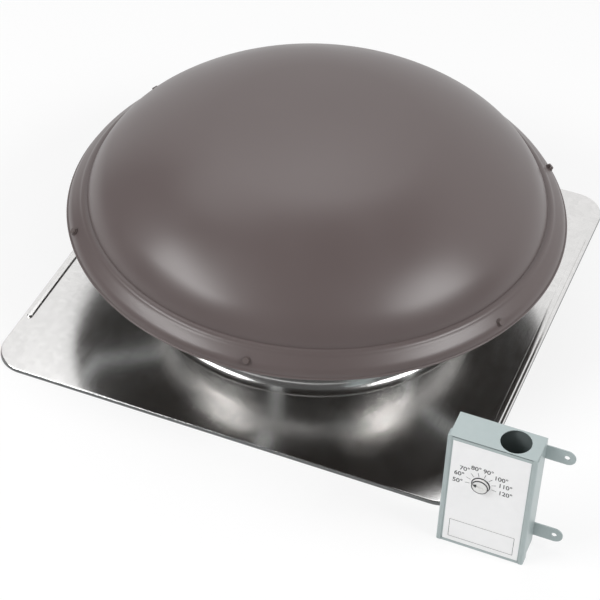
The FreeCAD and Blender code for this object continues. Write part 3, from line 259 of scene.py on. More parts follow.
gloss = add(tree, "ShaderNodeMapRange", {"Value": rubbed.outputs[0], "From Min": 0.6, "From Max": 1.4,
                                         "To Min": 0.15, "To Max": 0.27})
link(galvanised, "Roughness", gloss.outputs[0])
waves = add(tree, "ShaderNodeTexNoise", {"Vector": spot, "Scale": 11, "Detail": 1})
wavy = add(tree, "ShaderNodeBump", {"Height": waves.outputs[0], "Strength": 0.5, "Distance": 0.0004})
grooved = add(tree, "ShaderNodeBump", {"Height": lines.outputs[0], "Strength": 0.35, "Distance": 0.00003,
                                       "Normal": wavy.outputs[0]})
link(galvanised, "Normal", grooved.outputs[0])

plate_side, plate_corner, plate_top, sheet = 610, 42, 5, 1
edge_bend, edge_margin, corner_steps, bends = 1.5, 0.8, 16, 4
blend_at, foot_at, step_at, waist_at, neck_at = (222, 5), (205.5, 21.5), (205, 40), (196, 53), (187, 66)
foot_bend, neck_bend, rim_bend = 16.5, 13.9, 3
throat_top, rim_reach = 97, 202
ring_edges, flat_rings, draw_steps, rim_steps = 256, 10, 10, 6

begin()
flat_side = plate_side - 2 * edge_bend
inner_side, inner_corner = flat_side - 2 * edge_margin, plate_corner - edge_bend - edge_margin
bpy.ops.mesh.primitive_plane_add(size=inner_side * mm, location=(0, 0, plate_top * mm))
flashing = bpy.context.object
bpy.ops.object.transform_apply(location=True)
bpy.ops.object.mode_set(mode="EDIT")
bpy.ops.mesh.select_mode(type="VERT")
bpy.ops.mesh.select_all(action="SELECT")
bpy.ops.mesh.bevel(offset=inner_corner * mm, segments=corner_steps, affect="VERTICES")
choose("EDGE", lambda p: min(abs(p.x), abs(p.y)) < mm)
bpy.ops.mesh.subdivide(number_cuts=ring_edges // 4 - corner_steps - 1)
bpy.ops.mesh.select_all(action="SELECT")
bpy.ops.mesh.delete(type="ONLY_FACE")
bpy.ops.mesh.primitive_circle_add(vertices=ring_edges, radius=blend_at[0] * mm,
                                  location=(0, 0, plate_top * mm))
bpy.ops.mesh.select_all(action="SELECT")
bpy.ops.mesh.bridge_edge_loops(number_cuts=flat_rings, interpolation="LINEAR")
corner_middle = inner_side / 2 - inner_corner


def on_border(p):
    """True for a place on the flat sheet's outline: a straight side or a rounded corner."""
    from_corner = p.xy - Vector([math.copysign(corner_middle, c) * mm for c in p.xy])
    on_side = max(abs(p.x), abs(p.y)) > inner_side / 2 * mm - near
    in_corner = min(abs(p.x), abs(p.y)) > corner_middle * mm
    return on_side or in_corner and from_corner.length > inner_corner * mm - near


choose("VERT", on_border)
extrude(scale=flat_side / inner_side)
for i in range(bends):
    before, after = [math.pi / 2 * k / bends for k in (i, i + 1)]
    out_before, out_after = [flat_side / 2 + edge_bend * math.sin(a) for a in (before, after)]
    extrude(z=edge_bend * (math.cos(after) - math.cos(before)), scale=out_after / out_before)
extrude(z=edge_bend - plate_top)
throat = arc(blend_at, foot_at, -foot_bend, draw_steps) + [step_at]
throat += arc(step_at, waist_at, neck_bend, draw_steps) + arc(waist_at, neck_at, -neck_bend, draw_steps)
throat += [(neck_at[0], throat_top - sheet - rim_bend)]
throat += arc(throat[-1], (neck_at[0] + rim_bend, throat_top - sheet), -rim_bend, rim_steps)
throat += [(rim_reach, throat_top - sheet)]
choose("VERT", lambda p: p.xy.length < blend_at[0] * mm + near)
last = blend_at
for point in throat:
    extrude(z=point[1] - last[1], scale=point[0] / last[0])
    last = point
bpy.ops.mesh.select_all(action="SELECT")
bpy.ops.mesh.remove_doubles(threshold=weld_gap)
bpy.ops.mesh.normals_make_consistent(inside=False)
modify(flashing, "SOLIDIFY", thickness=sheet * mm, offset=-1, use_even_offset=True)

# The outside of the folded lip: duller zinc, its colour darkened as painted shade along the plate's edge,
# with a random mottle.
dull_zinc_painted_shade = finish("galvanised_sheet_fold_dull_painted_shade", "#707272", 1, 0.5)
tree = dull_zinc_painted_shade.node_tree
spot = add(tree, "ShaderNodeTexCoord").outputs["Object"]
scuffs = add(tree, "ShaderNodeTexNoise", {"Vector": spot, "Scale": 120, "Detail": 4})
tint = add(tree, "ShaderNodeMix", {0: scuffs.outputs[0], 6: linear("#5c5e5e"), 7: linear("#858787")},
           data_type="RGBA")
link(dull_zinc_painted_shade, "Base Color", tint.outputs[2])
gloss = add(tree, "ShaderNodeMapRange", {"Value": scuffs.outputs[0], "To Min": 0.38, "To Max": 0.62})
link(dull_zinc_painted_shade, "Roughness", gloss.outputs[0])
flashing.data.materials.append(galvanised)
flashing.data.materials.append(dull_zinc_painted_shade)
begin()
bpy.context.view_layer.objects.active = flashing
bpy.ops.object.mode_set(mode="EDIT")
# The lip's faces below the plate take the dull zinc darkened as painted shade.
choose("FACE", lambda p: p.z < (plate_top - edge_bend / 2) * mm and p.xy.length > blend_at[0] * mm)
flashing.active_material_index = 1
bpy.ops.object.material_slot_assign()

rib_offset, rib_width, rib_length, rib_rise = 297, 7, 432, 2.4
rib_middle, rib_top = plate_top + rib_rise / 2, plate_top + rib_rise
end_round, end_steps, back_round, back_steps = rib_width / 2 - 0.05, 8, 2.1, 6
for side, rib_name in ((-1, "flashing_rib_left"), (1, "flashing_rib_right")):
    begin()
    bpy.ops.mesh.primitive_cube_add(size=1, location=(side * rib_offset * mm, 0, rib_middle * mm),
                                    scale=(rib_width * mm, rib_length * mm, rib_rise * mm))
    rib = bpy.context.object
    bpy.ops.object.transform_apply(location=True, scale=True)
    bpy.ops.object.mode_set(mode="EDIT")
    choose("EDGE", lambda p: abs(p.z - rib_middle * mm) < near)
    bpy.ops.mesh.bevel(offset=end_round * mm, segments=end_steps, affect="EDGES")
    choose("EDGE", lambda p: p.z > rib_top * mm - near)
    bpy.ops.mesh.bevel(offset=back_round * mm, segments=back_steps, affect="EDGES", clamp_overlap=True)
    complete(rib, rib_name, "housing", "galvanised_sheet", galvanised)
complete(flashing, "flashing_sheet", "housing", "galvanised_sheet", galvanised, "flashing")


# Dome: one round of steel sheet 0.9 mm thick, spun over a form to a flat crown, a round shoulder, a
# bead and a flared skirt, its edge rolled to a hem, and powder-coated in weathered brown.
crown_flat, crown_level = 6, 252.02
shoulder_at, flank_at, crease_at = (127.03, 244.23), (260.1, 183.1), (284, 147.5)
bead_at, skirt_at, hem_at = (293, 143.5), (301.8, 136.1), (308.9, 123.9)
crown_radius, shoulder_radius, flank_radius = 944, 246, 88
bead_radius, skirt_radius, flare_radius = 8.8, 90, 21
shoulder_steps, skirt_steps = 24, 4
hem_radius, hem_start, hem_turn, hem_steps, hem_room = 1.6, 104, 26, 12, 1.2
dome_sheet = 0.9


def outline(points):
    """A wire of edges through points in millimetres: a plane merged to one vertex, then extruded."""
    begin()
    bpy.ops.mesh.primitive_plane_add(size=mm)
    bpy.ops.object.mode_set(mode="EDIT")
    bpy.ops.mesh.select_all(action="SELECT")
    bpy.ops.mesh.merge(type="CENTER")
    bpy.ops.mesh.select_mode(type="VERT")
    bpy.ops.mesh.select_all(action="SELECT")
    bpy.ops.transform.translate(value=Vector(points[0]) * mm)
    for before, after in zip(points, points[1:]):
        extrude(*(Vector(after) - Vector(before)))
    return bpy.context.object


def turn(points, steps):
    """A profile of radii and heights turned about the Z axis into a closed round of faces."""
    piece = outline([(radius, 0, height) for radius, height in points])
    bpy.ops.mesh.select_all(action="SELECT")
    bpy.ops.mesh.spin(steps=steps, angle=2 * math.pi, center=(0, 0, 0), axis=(0, 0, 1))
    bpy.ops.mesh.select_all(action="SELECT")
    bpy.ops.mesh.remove_doubles(threshold=weld_gap)
    bpy.ops.mesh.normals_make_consistent(inside=False)
    return piece


skin = [(0, crown_level), (crown_flat, crown_level)]
skin += arc(skin[-1], shoulder_at, -crown_radius, draw_steps)
skin += arc(shoulder_at, flank_at, -shoulder_radius, shoulder_steps)
skin += arc(flank_at, crease_at, -flank_radius, draw_steps)
skin += arc(crease_at, bead_at, -bead_radius, draw_steps)
skirt = arc(bead_at, skirt_at, -skirt_radius, skirt_steps)
skirt += arc(skirt_at, hem_at, -flare_radius, draw_steps)
skin += [point for point in skirt if math.dist(point, hem_at) > hem_radius * hem_room]
roll = [math.radians(hem_start - hem_turn * i) for i in range(hem_steps)]
skin += [(hem_at[0] + hem_radius * math.cos(a), hem_at[1] + hem_radius * math.sin(a)) for a in roll]
dome = turn(skin, ring_edges)

# Polyester powder coat, sprayed and baked: weathered brown, half matt, with the fine orange peel of
# such a coat (waves of about 3 mm) and a faint unevenness of its gloss.
brown_coat = finish("powder_coat_weathered_brown", "#5e5453", 0, 0.34)
tree = brown_coat.node_tree
spot = add(tree, "ShaderNodeTexCoord").outputs["Object"]
peel = add(tree, "ShaderNodeTexNoise", {"Vector": spot, "Scale": 330, "Detail": 2, "Roughness": 0.5})
clouds = add(tree, "ShaderNodeTexNoise", {"Vector": spot, "Scale": 9, "Detail": 2})
shade = add(tree, "ShaderNodeMix", {0: clouds.outputs[0], 6: linear("#5b5150"), 7: linear("#615756")},
            data_type="RGBA")
link(brown_coat, "Base Color", shade.outputs[2])
sheen = add(tree, "ShaderNodeMapRange", {"Value": clouds.outputs[0], "From Min": 0.3, "From Max": 0.7,
                                         "To Min": 0.31, "To Max": 0.37})
link(brown_coat, "Roughness", sheen.outputs[0])
pebbled = add(tree, "ShaderNodeBump", {"Height": peel.outputs[0], "Strength": 0.25, "Distance": 0.00005})
link(brown_coat, "Normal", pebbled.outputs[0])

# The inside is a dark brown, much darker than the coat outside: painted shade for the unlit inside of the
# dome, which the flashing mirrors. Flat, and slightly mottled.
dark_inside_painted_shade = finish("dome_inside_painted_shade", "#352a22", 0, 0.6)
tree = dark_inside_painted_shade.node_tree
spot = add(tree, "ShaderNodeTexCoord").outputs["Object"]
mottle = add(tree, "ShaderNodeTexNoise", {"Vector": spot, "Scale": 60, "Detail": 3})
tint = add(tree, "ShaderNodeMix", {0: mottle.outputs[0], 6: linear("#30251e"), 7: linear("#3a2f27")},
           data_type="RGBA")
link(dark_inside_painted_shade, "Base Color", tint.outputs[2])
gloss = add(tree, "ShaderNodeMapRange", {"Value": mottle.outputs[0], "To Min": 0.5, "To Max": 0.7})
link(dark_inside_painted_shade, "Roughness", gloss.outputs[0])
dome.data.materials.append(brown_coat)
dome.data.materials.append(dark_inside_painted_shade)
# The inner face of the sheet takes the second material, the dark painted shade.
modify(dome, "SOLIDIFY", thickness=dome_sheet * mm, offset=-1, use_even_offset=False, material_offset=1)
complete(dome, "dome_shell", "housing", "dome_paint", brown_coat, "dome", smooth=35)


# Brackets and motor arms: strips of the same galvanised sheet, cut and bent, with a duller zinc than
# the flashing's.
def dress(material, *nodes):
    """Give CAD nodes whose shape is right their finish."""
    for name in nodes:
        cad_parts[name].data.materials.clear()
        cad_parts[name].data.materials.append(material)


strip = finish("galvanised_sheet_bent", "#e6eaea", 0.35, 0.42)
tree = strip.node_tree
spot = add(tree, "ShaderNodeTexCoord").outputs["Object"]
crystals = add(tree, "ShaderNodeTexVoronoi", {"Vector": spot, "Scale": 160}, feature="F1")
cell = add(tree, "ShaderNodeSeparateColor", {0: crystals.outputs["Color"]})
tint = add(tree, "ShaderNodeMix", {0: cell.outputs[0], 6: linear("#e2e6e6"), 7: linear("#eceeee")},
           data_type="RGBA")
link(strip, "Base Color", tint.outputs[2])
gloss = add(tree, "ShaderNodeMapRange", {"Value": cell.outputs[1], "To Min": 0.36, "To Max": 0.48})
link(strip, "Roughness", gloss.outputs[0])
dress(strip, *[f"dome_bracket_{i}" for i in range(1, 7)], *[f"motor_arm_{i}" for i in range(1, 4)])


# Fasteners: hexagon washer-head screws through the skirt, sprayed with the dome, and bright
# zinc-plated screws, rivets and clips everywhere else.
sprayed = finish("powder_coat_on_screw_heads", "#584e4c", 0, 0.38)
tree = sprayed.node_tree
spot = add(tree, "ShaderNodeTexCoord").outputs["Object"]
grain = add(tree, "ShaderNodeTexNoise", {"Vector": spot, "Scale": 700, "Detail": 2})
tint = add(tree, "ShaderNodeMix", {0: grain.outputs[0], 6: linear("#4c4341"), 7: linear("#655a58")},
           data_type="RGBA")
link(sprayed, "Base Color", tint.outputs[2])
rough = add(tree, "ShaderNodeBump", {"Height": grain.outputs[0], "Strength": 0.3, "Distance": 0.00008})
link(sprayed, "Normal", rough.outputs[0])
dress(sprayed, "dome_screws")

# Bright zinc plating with a yellowish cast, a little uneven from part to part.
plated = finish("zinc_plated_screw_steel", "#a3a49c", 1, 0.33)
tree = plated.node_tree
spot = add(tree, "ShaderNodeTexCoord").outputs["Object"]
grain = add(tree, "ShaderNodeTexNoise", {"Vector": spot, "Scale": 500, "Detail": 3})
tint = add(tree, "ShaderNodeMix", {0: grain.outputs[0], 6: linear("#98978c"), 7: linear("#adafa9")},
           data_type="RGBA")
link(plated, "Base Color", tint.outputs[2])
gloss = add(tree, "ShaderNodeMapRange", {"Value": grain.outputs[0], "To Min": 0.24, "To Max": 0.42})
link(plated, "Roughness", gloss.outputs[0])
dress(plated, "bracket_rivets", "arm_rivets", "motor_bolts", "motor_cap_screws", "hub_set_screw",
      "spindle_clip")


# Bird screen: hoops and spokes of galvanised wire 1.4 mm thick, spot-welded where they cross, which
# lie on the dome brackets. The zinc is dull and a little stained.
wire = finish("galvanised_wire_dull", "#7d8080", 1, 0.45)
tree = wire.node_tree
spot = add(tree, "ShaderNodeTexCoord").outputs["Object"]
stains = add(tree, "ShaderNodeTexNoise", {"Vector": spot, "Scale": 120, "Detail": 4})
tint = add(tree, "ShaderNodeMix", {0: stains.outputs[0], 6: linear("#63645f"), 7: linear("#8f9494")},
           data_type="RGBA")
link(wire, "Base Color", tint.outputs[2])
gloss = add(tree, "ShaderNodeMapRange", {"Value": stains.outputs[0], "To Min": 0.36, "To Max": 0.58})
link(wire, "Roughness", gloss.outputs[0])
dress(wire, "bird_screen")


# Motor: a rolled steel shell in black enamel between two die-cast end caps, hung from its arms on
# rubber grommets. Inside are the stacked laminations, the copper windings and two sleeve bearings.
enamel = finish("stove_enamel_black", "#1b1b1c", 0, 0.32)
tree = enamel.node_tree
spot = add(tree, "ShaderNodeTexCoord").outputs["Object"]
peel = add(tree, "ShaderNodeTexNoise", {"Vector": spot, "Scale": 380, "Detail": 2})
dust = add(tree, "ShaderNodeTexNoise", {"Vector": spot, "Scale": 40, "Detail": 4})
tint = add(tree, "ShaderNodeMix", {0: dust.outputs[0], 6: linear("#161617"), 7: linear("#242322")},
           data_type="RGBA")
link(enamel, "Base Color", tint.outputs[2])
gloss = add(tree, "ShaderNodeMapRange", {"Value": dust.outputs[0], "To Min": 0.24, "To Max": 0.42})
link(enamel, "Roughness", gloss.outputs[0])
pebbled = add(tree, "ShaderNodeBump", {"Height": peel.outputs[0], "Strength": 0.25, "Distance": 0.00006})
link(enamel, "Normal", pebbled.outputs[0])
dress(enamel, "motor_shell")

# Die-cast aluminium as it leaves the mould: the fine grain of its skin, and soft flow marks.
casting = finish("aluminium_die_cast", "#b3b5b6", 1, 0.46)
tree = casting.node_tree
spot = add(tree, "ShaderNodeTexCoord").outputs["Object"]
skin_grain = add(tree, "ShaderNodeTexNoise",
                 {"Vector": spot, "Scale": 420, "Detail": 5, "Roughness": 0.65})
flow = add(tree, "ShaderNodeTexNoise", {"Vector": spot, "Scale": 30, "Detail": 3, "Distortion": 1.5})
tint = add(tree, "ShaderNodeMix", {0: flow.outputs[0], 6: linear("#a2a5a7"), 7: linear("#bfc1c1")},
           data_type="RGBA")
link(casting, "Base Color", tint.outputs[2])
gloss = add(tree, "ShaderNodeMapRange", {"Value": flow.outputs[0], "To Min": 0.38, "To Max": 0.56})
link(casting, "Roughness", gloss.outputs[0])
rough = add(tree, "ShaderNodeBump", {"Height": skin_grain.outputs[0], "Strength": 0.4, "Distance": 0.0001})
link(casting, "Normal", rough.outputs[0])
dress(casting, "motor_lower_cap", "motor_upper_cap")

# Electrical sheet 0.5 mm thick, stacked along the shaft; drawn coarser, one layer to each 2 mm.
laminations = finish("electrical_sheet_stacked", "#55565a", 1, 0.42)
tree = laminations.node_tree
spot = add(tree, "ShaderNodeTexCoord").outputs["Object"]
layers = add(tree, "ShaderNodeTexWave", {"Vector": spot, "Scale": 160, "Distortion": 0.3},
             bands_direction="Z")
tint = add(tree, "ShaderNodeMix", {0: layers.outputs["Fac"], 6: linear("#3c3d41"), 7: linear("#6a6b6e")},
           data_type="RGBA")
link(laminations, "Base Color", tint.outputs[2])
ridged = add(tree, "ShaderNodeBump", {"Height": layers.outputs["Fac"], "Strength": 0.4, "Distance": 0.0001})
link(laminations, "Normal", ridged.outputs[0])
dress(laminations, "stator_core", "rotor_core")

# Enamelled copper wire 0.6 mm thick, wound in rings; drawn coarser, one turn to each 2.4 mm.
copper = finish("copper_wire_enamelled", "#a4532c", 0.85, 0.32)
tree = copper.node_tree
spot = add(tree, "ShaderNodeTexCoord").outputs["Object"]
turns = add(tree, "ShaderNodeTexWave", {"Vector": spot, "Scale": 130, "Distortion": 0.6}, wave_type="RINGS",
            rings_direction="Z")
tint = add(tree, "ShaderNodeMix", {0: turns.outputs["Fac"], 6: linear("#7a3517"), 7: linear("#bf6a3a")},
           data_type="RGBA")
link(copper, "Base Color", tint.outputs[2])
ridged = add(tree, "ShaderNodeBump", {"Height": turns.outputs["Fac"], "Strength": 0.6, "Distance": 0.0003})
link(copper, "Normal", ridged.outputs[0])
dress(copper, "stator_windings")

# Ground steel of the shaft and bearings: fine grinding lines round the axis, 0.3 mm apart.
ground = finish("ground_steel", "#b0b1b2", 1, 0.22)
tree = ground.node_tree
spot = add(tree, "ShaderNodeTexCoord").outputs["Object"]
lined = add(tree, "ShaderNodeMapping", {"Vector": spot, "Scale": (0.02, 0.02, 1)})
lines = add(tree, "ShaderNodeTexNoise", {"Vector": lined.outputs[0], "Scale": 3000, "Detail": 2})
gloss = add(tree, "ShaderNodeMapRange", {"Value": lines.outputs[0], "To Min": 0.14, "To Max": 0.32})
link(ground, "Roughness", gloss.outputs[0])
dress(ground, "motor_shaft", "lower_bearing", "upper_bearing")

# Moulded rubber, dull black with a faint grey bloom.
rubber = finish("moulded_black_rubber", "#1d1c1b", 0, 0.75)
tree = rubber.node_tree
spot = add(tree, "ShaderNodeTexCoord").outputs["Object"]
bloom = add(tree, "ShaderNodeTexNoise", {"Vector": spot, "Scale": 260, "Detail": 3})
tint = add(tree, "ShaderNodeMix", {0: bloom.outputs[0], 6: linear("#171615"), 7: linear("#2a2826")},
           data_type="RGBA")
link(rubber, "Base Color", tint.outputs[2])
dress(rubber, "motor_grommets")


# Fan: four blades pressed from aluminium sheet 1.5 mm thick with a camber and a twist, riveted to a
# zinc-plated spider, whose hub is held on the shaft by a set screw. Mill finish: a soft haze, and
# rolling lines along each blade, drawn 1.5 mm apart at its root and 4 mm at its tip.
mill = finish("aluminium_sheet_mill_finish", "#c9cbcd", 1, 0.3)
tree = mill.node_tree
spot = add(tree, "ShaderNodeTexCoord").outputs["Object"]
around = add(tree, "ShaderNodeTexGradient", {"Vector": spot}, gradient_type="RADIAL")
rolled = add(tree, "ShaderNodeTexNoise", {"Vector": spot, "Scale": 150, "Detail": 4, "Roughness": 0.6})
haze = add(tree, "ShaderNodeTexNoise", {"Vector": spot, "Scale": 18, "Detail": 3})
tint = add(tree, "ShaderNodeMix", {0: haze.outputs[0], 6: linear("#bcbfc2"), 7: linear("#d3d5d6")},
           data_type="RGBA")
link(mill, "Base Color", tint.outputs[2])
stripes = add(tree, "ShaderNodeTexNoise", {"Vector": around.outputs["Color"], "Scale": 260, "Detail": 3})
worn = add(tree, "ShaderNodeMath", {0: stripes.outputs[0], 1: rolled.outputs[0]}, operation="ADD")
gloss = add(tree, "ShaderNodeMapRange", {"Value": worn.outputs[0], "From Min": 0.6, "From Max": 1.4,
                                         "To Min": 0.22, "To Max": 0.4})
link(mill, "Roughness", gloss.outputs[0])
dress(mill, *[f"fan_blade_{i}" for i in range(1, 5)], "blade_rivets")

# Zinc-plated mild steel, bright-dipped and satin: a cool pale grey-green, a little mottled.
zinc = finish("zinc_plated_sheet_satin", "#aab5b5", 0.45, 0.4)
tree = zinc.node_tree
spot = add(tree, "ShaderNodeTexCoord").outputs["Object"]
mottle = add(tree, "ShaderNodeTexNoise", {"Vector": spot, "Scale": 60, "Detail": 4, "Roughness": 0.6})
grain = add(tree, "ShaderNodeTexNoise", {"Vector": spot, "Scale": 900, "Detail": 2})
tint = add(tree, "ShaderNodeMix", {0: mottle.outputs[0], 6: linear("#a3afaf"), 7: linear("#b2bcbc")},
           data_type="RGBA")
link(zinc, "Base Color", tint.outputs[2])
gloss = add(tree, "ShaderNodeMapRange", {"Value": mottle.outputs[0], "To Min": 0.32, "To Max": 0.48})
link(zinc, "Roughness", gloss.outputs[0])
rough = add(tree, "ShaderNodeBump", {"Height": grain.outputs[0], "Strength": 0.15, "Distance": 0.00004})
link(zinc, "Normal", rough.outputs[0])
dress(zinc, "fan_spider", "fan_hub")


# Thermostat box and cover: a folded box of zinc-plated sheet with two mounting ears and a knockout,
# and a cover whose sides wrap round the box. Its side edges are rolled into raised round folds that
# end in small tips above the box, and a flat strip is pressed up at its top and bottom.
dress(zinc, "thermostat_box")
cover_low, cover_high = [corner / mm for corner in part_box("thermostat_cover")]
fold_width, fold_rise, fold_bend, tip_rise = 7, 1.2, 2.4, 3
strip_width, strip_rise, strip_reach = 3.5, 0.6, 30
outer_steps, inner_steps, cover_sheet = 6, 5, 0.9
panel = cover_low.y + fold_rise
case_top = cover_high.z - tip_rise
left_half = [(cover_low.x, cover_high.y), (cover_low.x, cover_low.y + fold_bend)]
left_half += arc(left_half[-1], (cover_low.x + fold_bend, cover_low.y), fold_bend, outer_steps)
left_half += [(cover_low.x + fold_width - 2 * fold_rise, cover_low.y)]
left_half += arc(left_half[-1], (cover_low.x + fold_width - fold_rise, panel), fold_rise, inner_steps)
middle = (cover_low.x + cover_high.x) / 2
plan = left_half + [(2 * middle - x, y) for x, y in reversed(left_half)]
cover = outline([(x, y, cover_low.z) for x, y in plan])
for rise in (strip_width, case_top - 2 * strip_width, strip_width):
    choose("VERT", lambda p: p.z > max(v.co.z for v in bmesh.from_edit_mesh(cover.data).verts) - near)
    extrude(z=rise)
choose("FACE", lambda p: abs(p.y - panel * mm) < near and abs(p.x - middle * mm) < strip_reach * mm
       and not strip_width * mm < p.z < (case_top - strip_width) * mm)
extrude(y=-strip_rise)
choose("EDGE", lambda p: p.z > case_top * mm - near and p.y < panel * mm - 3 * near
       and abs(p.x - middle * mm) > (middle - cover_low.x - fold_width) * mm)
extrude(z=tip_rise)
bpy.ops.mesh.select_all(action="SELECT")
bpy.ops.mesh.remove_doubles(threshold=weld_gap)
bpy.ops.mesh.normals_make_consistent(inside=False)
modify(cover, "SOLIDIFY", thickness=cover_sheet * mm, offset=-1)
complete(cover, "thermostat_cover_sheet", "housing", "zinc_steel", zinc, "thermostat_cover")


# Label: white polyester film with the plain scale of temperatures round the dial, printed in black: a tick
# for each 10 degrees, its number, and an empty box at the foot. A black ring close round the dial is
# painted shadow of the gap between dial and label.
film = finish("label_film_white", "#f6f6f6", 0, 0.42)
tree = film.node_tree
spot = add(tree, "ShaderNodeTexCoord").outputs["Object"]
fibre = add(tree, "ShaderNodeTexNoise", {"Vector": spot, "Scale": 90, "Detail": 4})
tint = add(tree, "ShaderNodeMix", {0: fibre.outputs[0], 6: linear("#f3f3f3"), 7: linear("#fafafa")},
           data_type="RGBA")
link(film, "Base Color", tint.outputs[2])
gloss = add(tree, "ShaderNodeMapRange", {"Value": fibre.outputs[0], "To Min": 0.36, "To Max": 0.5})
link(film, "Roughness", gloss.outputs[0])
dress(film, "label_plate")

# Screen-printing ink, slightly thin in places.
ink = finish("printing_ink_black", "#222224", 0, 0.5)
tree = ink.node_tree
spot = add(tree, "ShaderNodeTexCoord").outputs["Object"]
worn = add(tree, "ShaderNodeTexNoise", {"Vector": spot, "Scale": 1200, "Detail": 3})
tint = add(tree, "ShaderNodeMix", {0: worn.outputs[0], 6: linear("#161618"), 7: linear("#39393c")},
           data_type="RGBA")
link(ink, "Base Color", tint.outputs[2])

dial_low, dial_high = [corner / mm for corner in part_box("dial")]
label_low, label_high = [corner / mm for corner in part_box("label_plate")]
dial_middle = (dial_low + dial_high) / 2
dial_radius, round_edges = (dial_high.x - dial_low.x) / 2, 96
printed_at = label_low.y - 0.06
facing_front = (math.radians(90), 0, 0)
first_angle, last_angle, first_number, last_number, number_step = 188, -8, 50, 120, 10
steep = 0.3
number_size, number_weight, number_beside, number_above, number_top = 8.6, 0.12, 20.6, 23.5, 7.0
tick_reach, tick_length, tick_width = 15.5, 5.5, 0.55
gap_shadow_reach, gap_shadow_line = dial_radius + 1.1, 1.4
foot_width, foot_height, foot_level, foot_line = 76, 28, 24, 0.5
prints = []
for number in range(first_number, last_number + 1, number_step):
    share = (number - first_number) / (last_number - first_number)
    angle = math.radians(first_angle + (last_angle - first_angle) * share)
    side, rise = math.cos(angle), math.sin(angle)
    across = number_beside * side if abs(side) > steep else math.copysign(number_top, side)
    number_place = (dial_middle.x + across, printed_at, dial_middle.z + number_above * rise)
    tick_place = (dial_middle.x + tick_reach * side, printed_at, dial_middle.z + tick_reach * rise)
    begin()
    bpy.ops.object.text_add(location=Vector(number_place) * mm, rotation=facing_front)
    text = bpy.context.object
    text.data.body = f"{number}\u00b0"
    text.data.size = number_size * mm
    text.data.offset = number_weight * mm
    text.data.align_x = "LEFT" if side > steep else "RIGHT" if side < -steep else "CENTER"
    text.data.align_y = "CENTER"
    bpy.ops.object.convert(target="MESH")
    prints.append(bpy.context.object)
    begin()
    bpy.ops.mesh.primitive_plane_add(size=1, location=Vector(tick_place) * mm,
                                     rotation=(math.radians(90), -angle, 0))
    tick = bpy.context.object
    tick.scale = (tick_length * mm, tick_width * mm, 1)
    prints.append(tick)
# A black ring printed close round the dial: painted shadow of the gap between dial and label.
begin()
bpy.ops.mesh.primitive_circle_add(vertices=round_edges, radius=gap_shadow_reach * mm, fill_type="NGON",
                                  location=(dial_middle.x * mm, printed_at * mm, dial_middle.z * mm),
                                  rotation=facing_front)
bpy.ops.object.mode_set(mode="EDIT")
bpy.ops.mesh.select_all(action="SELECT")
bpy.ops.mesh.inset(thickness=gap_shadow_line * mm)
bpy.ops.mesh.delete(type="FACE")
prints.append(bpy.context.object)
begin()
foot_place = ((label_low.x + label_high.x) / 2, printed_at, foot_level)
bpy.ops.mesh.primitive_plane_add(size=1, rotation=facing_front, location=Vector(foot_place) * mm)
bpy.context.object.scale = (foot_width * mm, foot_height * mm, 1)
bpy.ops.object.transform_apply(location=False, rotation=False, scale=True)
bpy.ops.object.mode_set(mode="EDIT")
bpy.ops.mesh.select_all(action="SELECT")
bpy.ops.mesh.inset(thickness=foot_line * mm)
bpy.ops.mesh.delete(type="FACE")
prints.append(bpy.context.object)
begin()
for item in prints:
    item.select_set(True)
bpy.context.view_layer.objects.active = prints[0]
bpy.ops.object.join()
complete(prints[0], "label_print", "housing", "label_film", ink)


# Dial: a white moulded disc with a screwdriver slot across it and a black pointer; its rim is black as
# painted shadow of the gap round the dial. It stands on the end of the brass spindle and turns with it. The
# plastic is plain and very finely grained.
moulded = finish("moulded_white_plastic", "#e9e9e7", 0, 0.4)
tree = moulded.node_tree
spot = add(tree, "ShaderNodeTexCoord").outputs["Object"]
grain = add(tree, "ShaderNodeTexNoise", {"Vector": spot, "Scale": 800, "Detail": 2})
tint = add(tree, "ShaderNodeMix", {0: grain.outputs[0], 6: linear("#e3e3e0"), 7: linear("#eeeeec")},
           data_type="RGBA")
link(moulded, "Base Color", tint.outputs[2])

dial_depth = dial_high.y - dial_low.y
dial_face = dial_depth / 2
rest_angle = math.radians(170)
edge_round, edge_steps, face_border, face_sink = 0.7, 3, 0.5, 0.25
shadow_rim_width, shadow_rim_depth = 1.25, 0.8
slot_length, slot_width, slot_height, slot_round = 13, 1.7, 2.2, 0.5
pointer_reach, pointer_inward, pointer_thick, pointer_round = 3.1, 4.2, 0.5, 0.12
begin()
bpy.ops.mesh.primitive_cylinder_add(vertices=round_edges, radius=dial_radius * mm, depth=dial_depth * mm)
dial = bpy.context.object
bpy.ops.object.mode_set(mode="EDIT")
choose("EDGE", lambda p: p.z > dial_face * mm - weld_gap)
bpy.ops.mesh.bevel(offset=edge_round * mm, segments=edge_steps, affect="EDGES")
choose("FACE", lambda p: p.z > dial_face * mm - weld_gap)
bpy.ops.mesh.inset(thickness=face_border * mm)
extrude(z=-face_sink)
begin()
bpy.ops.mesh.primitive_cube_add(size=1, location=(0, 0, dial_face * mm),
                                scale=(slot_length * mm, slot_width * mm, slot_height * mm))
cutter = bpy.context.object
bpy.ops.object.transform_apply(location=True, scale=True)
bpy.ops.object.mode_set(mode="EDIT")
choose("EDGE", lambda p: abs(p.z - dial_face * mm) < near)
bpy.ops.mesh.bevel(offset=slot_round * mm, segments=edge_steps, affect="EDGES")
modify(dial, "BOOLEAN", object=cutter, operation="DIFFERENCE", solver="EXACT")
begin()
cutter.select_set(True)
bpy.ops.object.delete()
dial.data.materials.append(moulded)
dial.data.materials.append(ink)
begin()
dial.select_set(True)
bpy.context.view_layer.objects.active = dial
bpy.ops.object.mode_set(mode="EDIT")
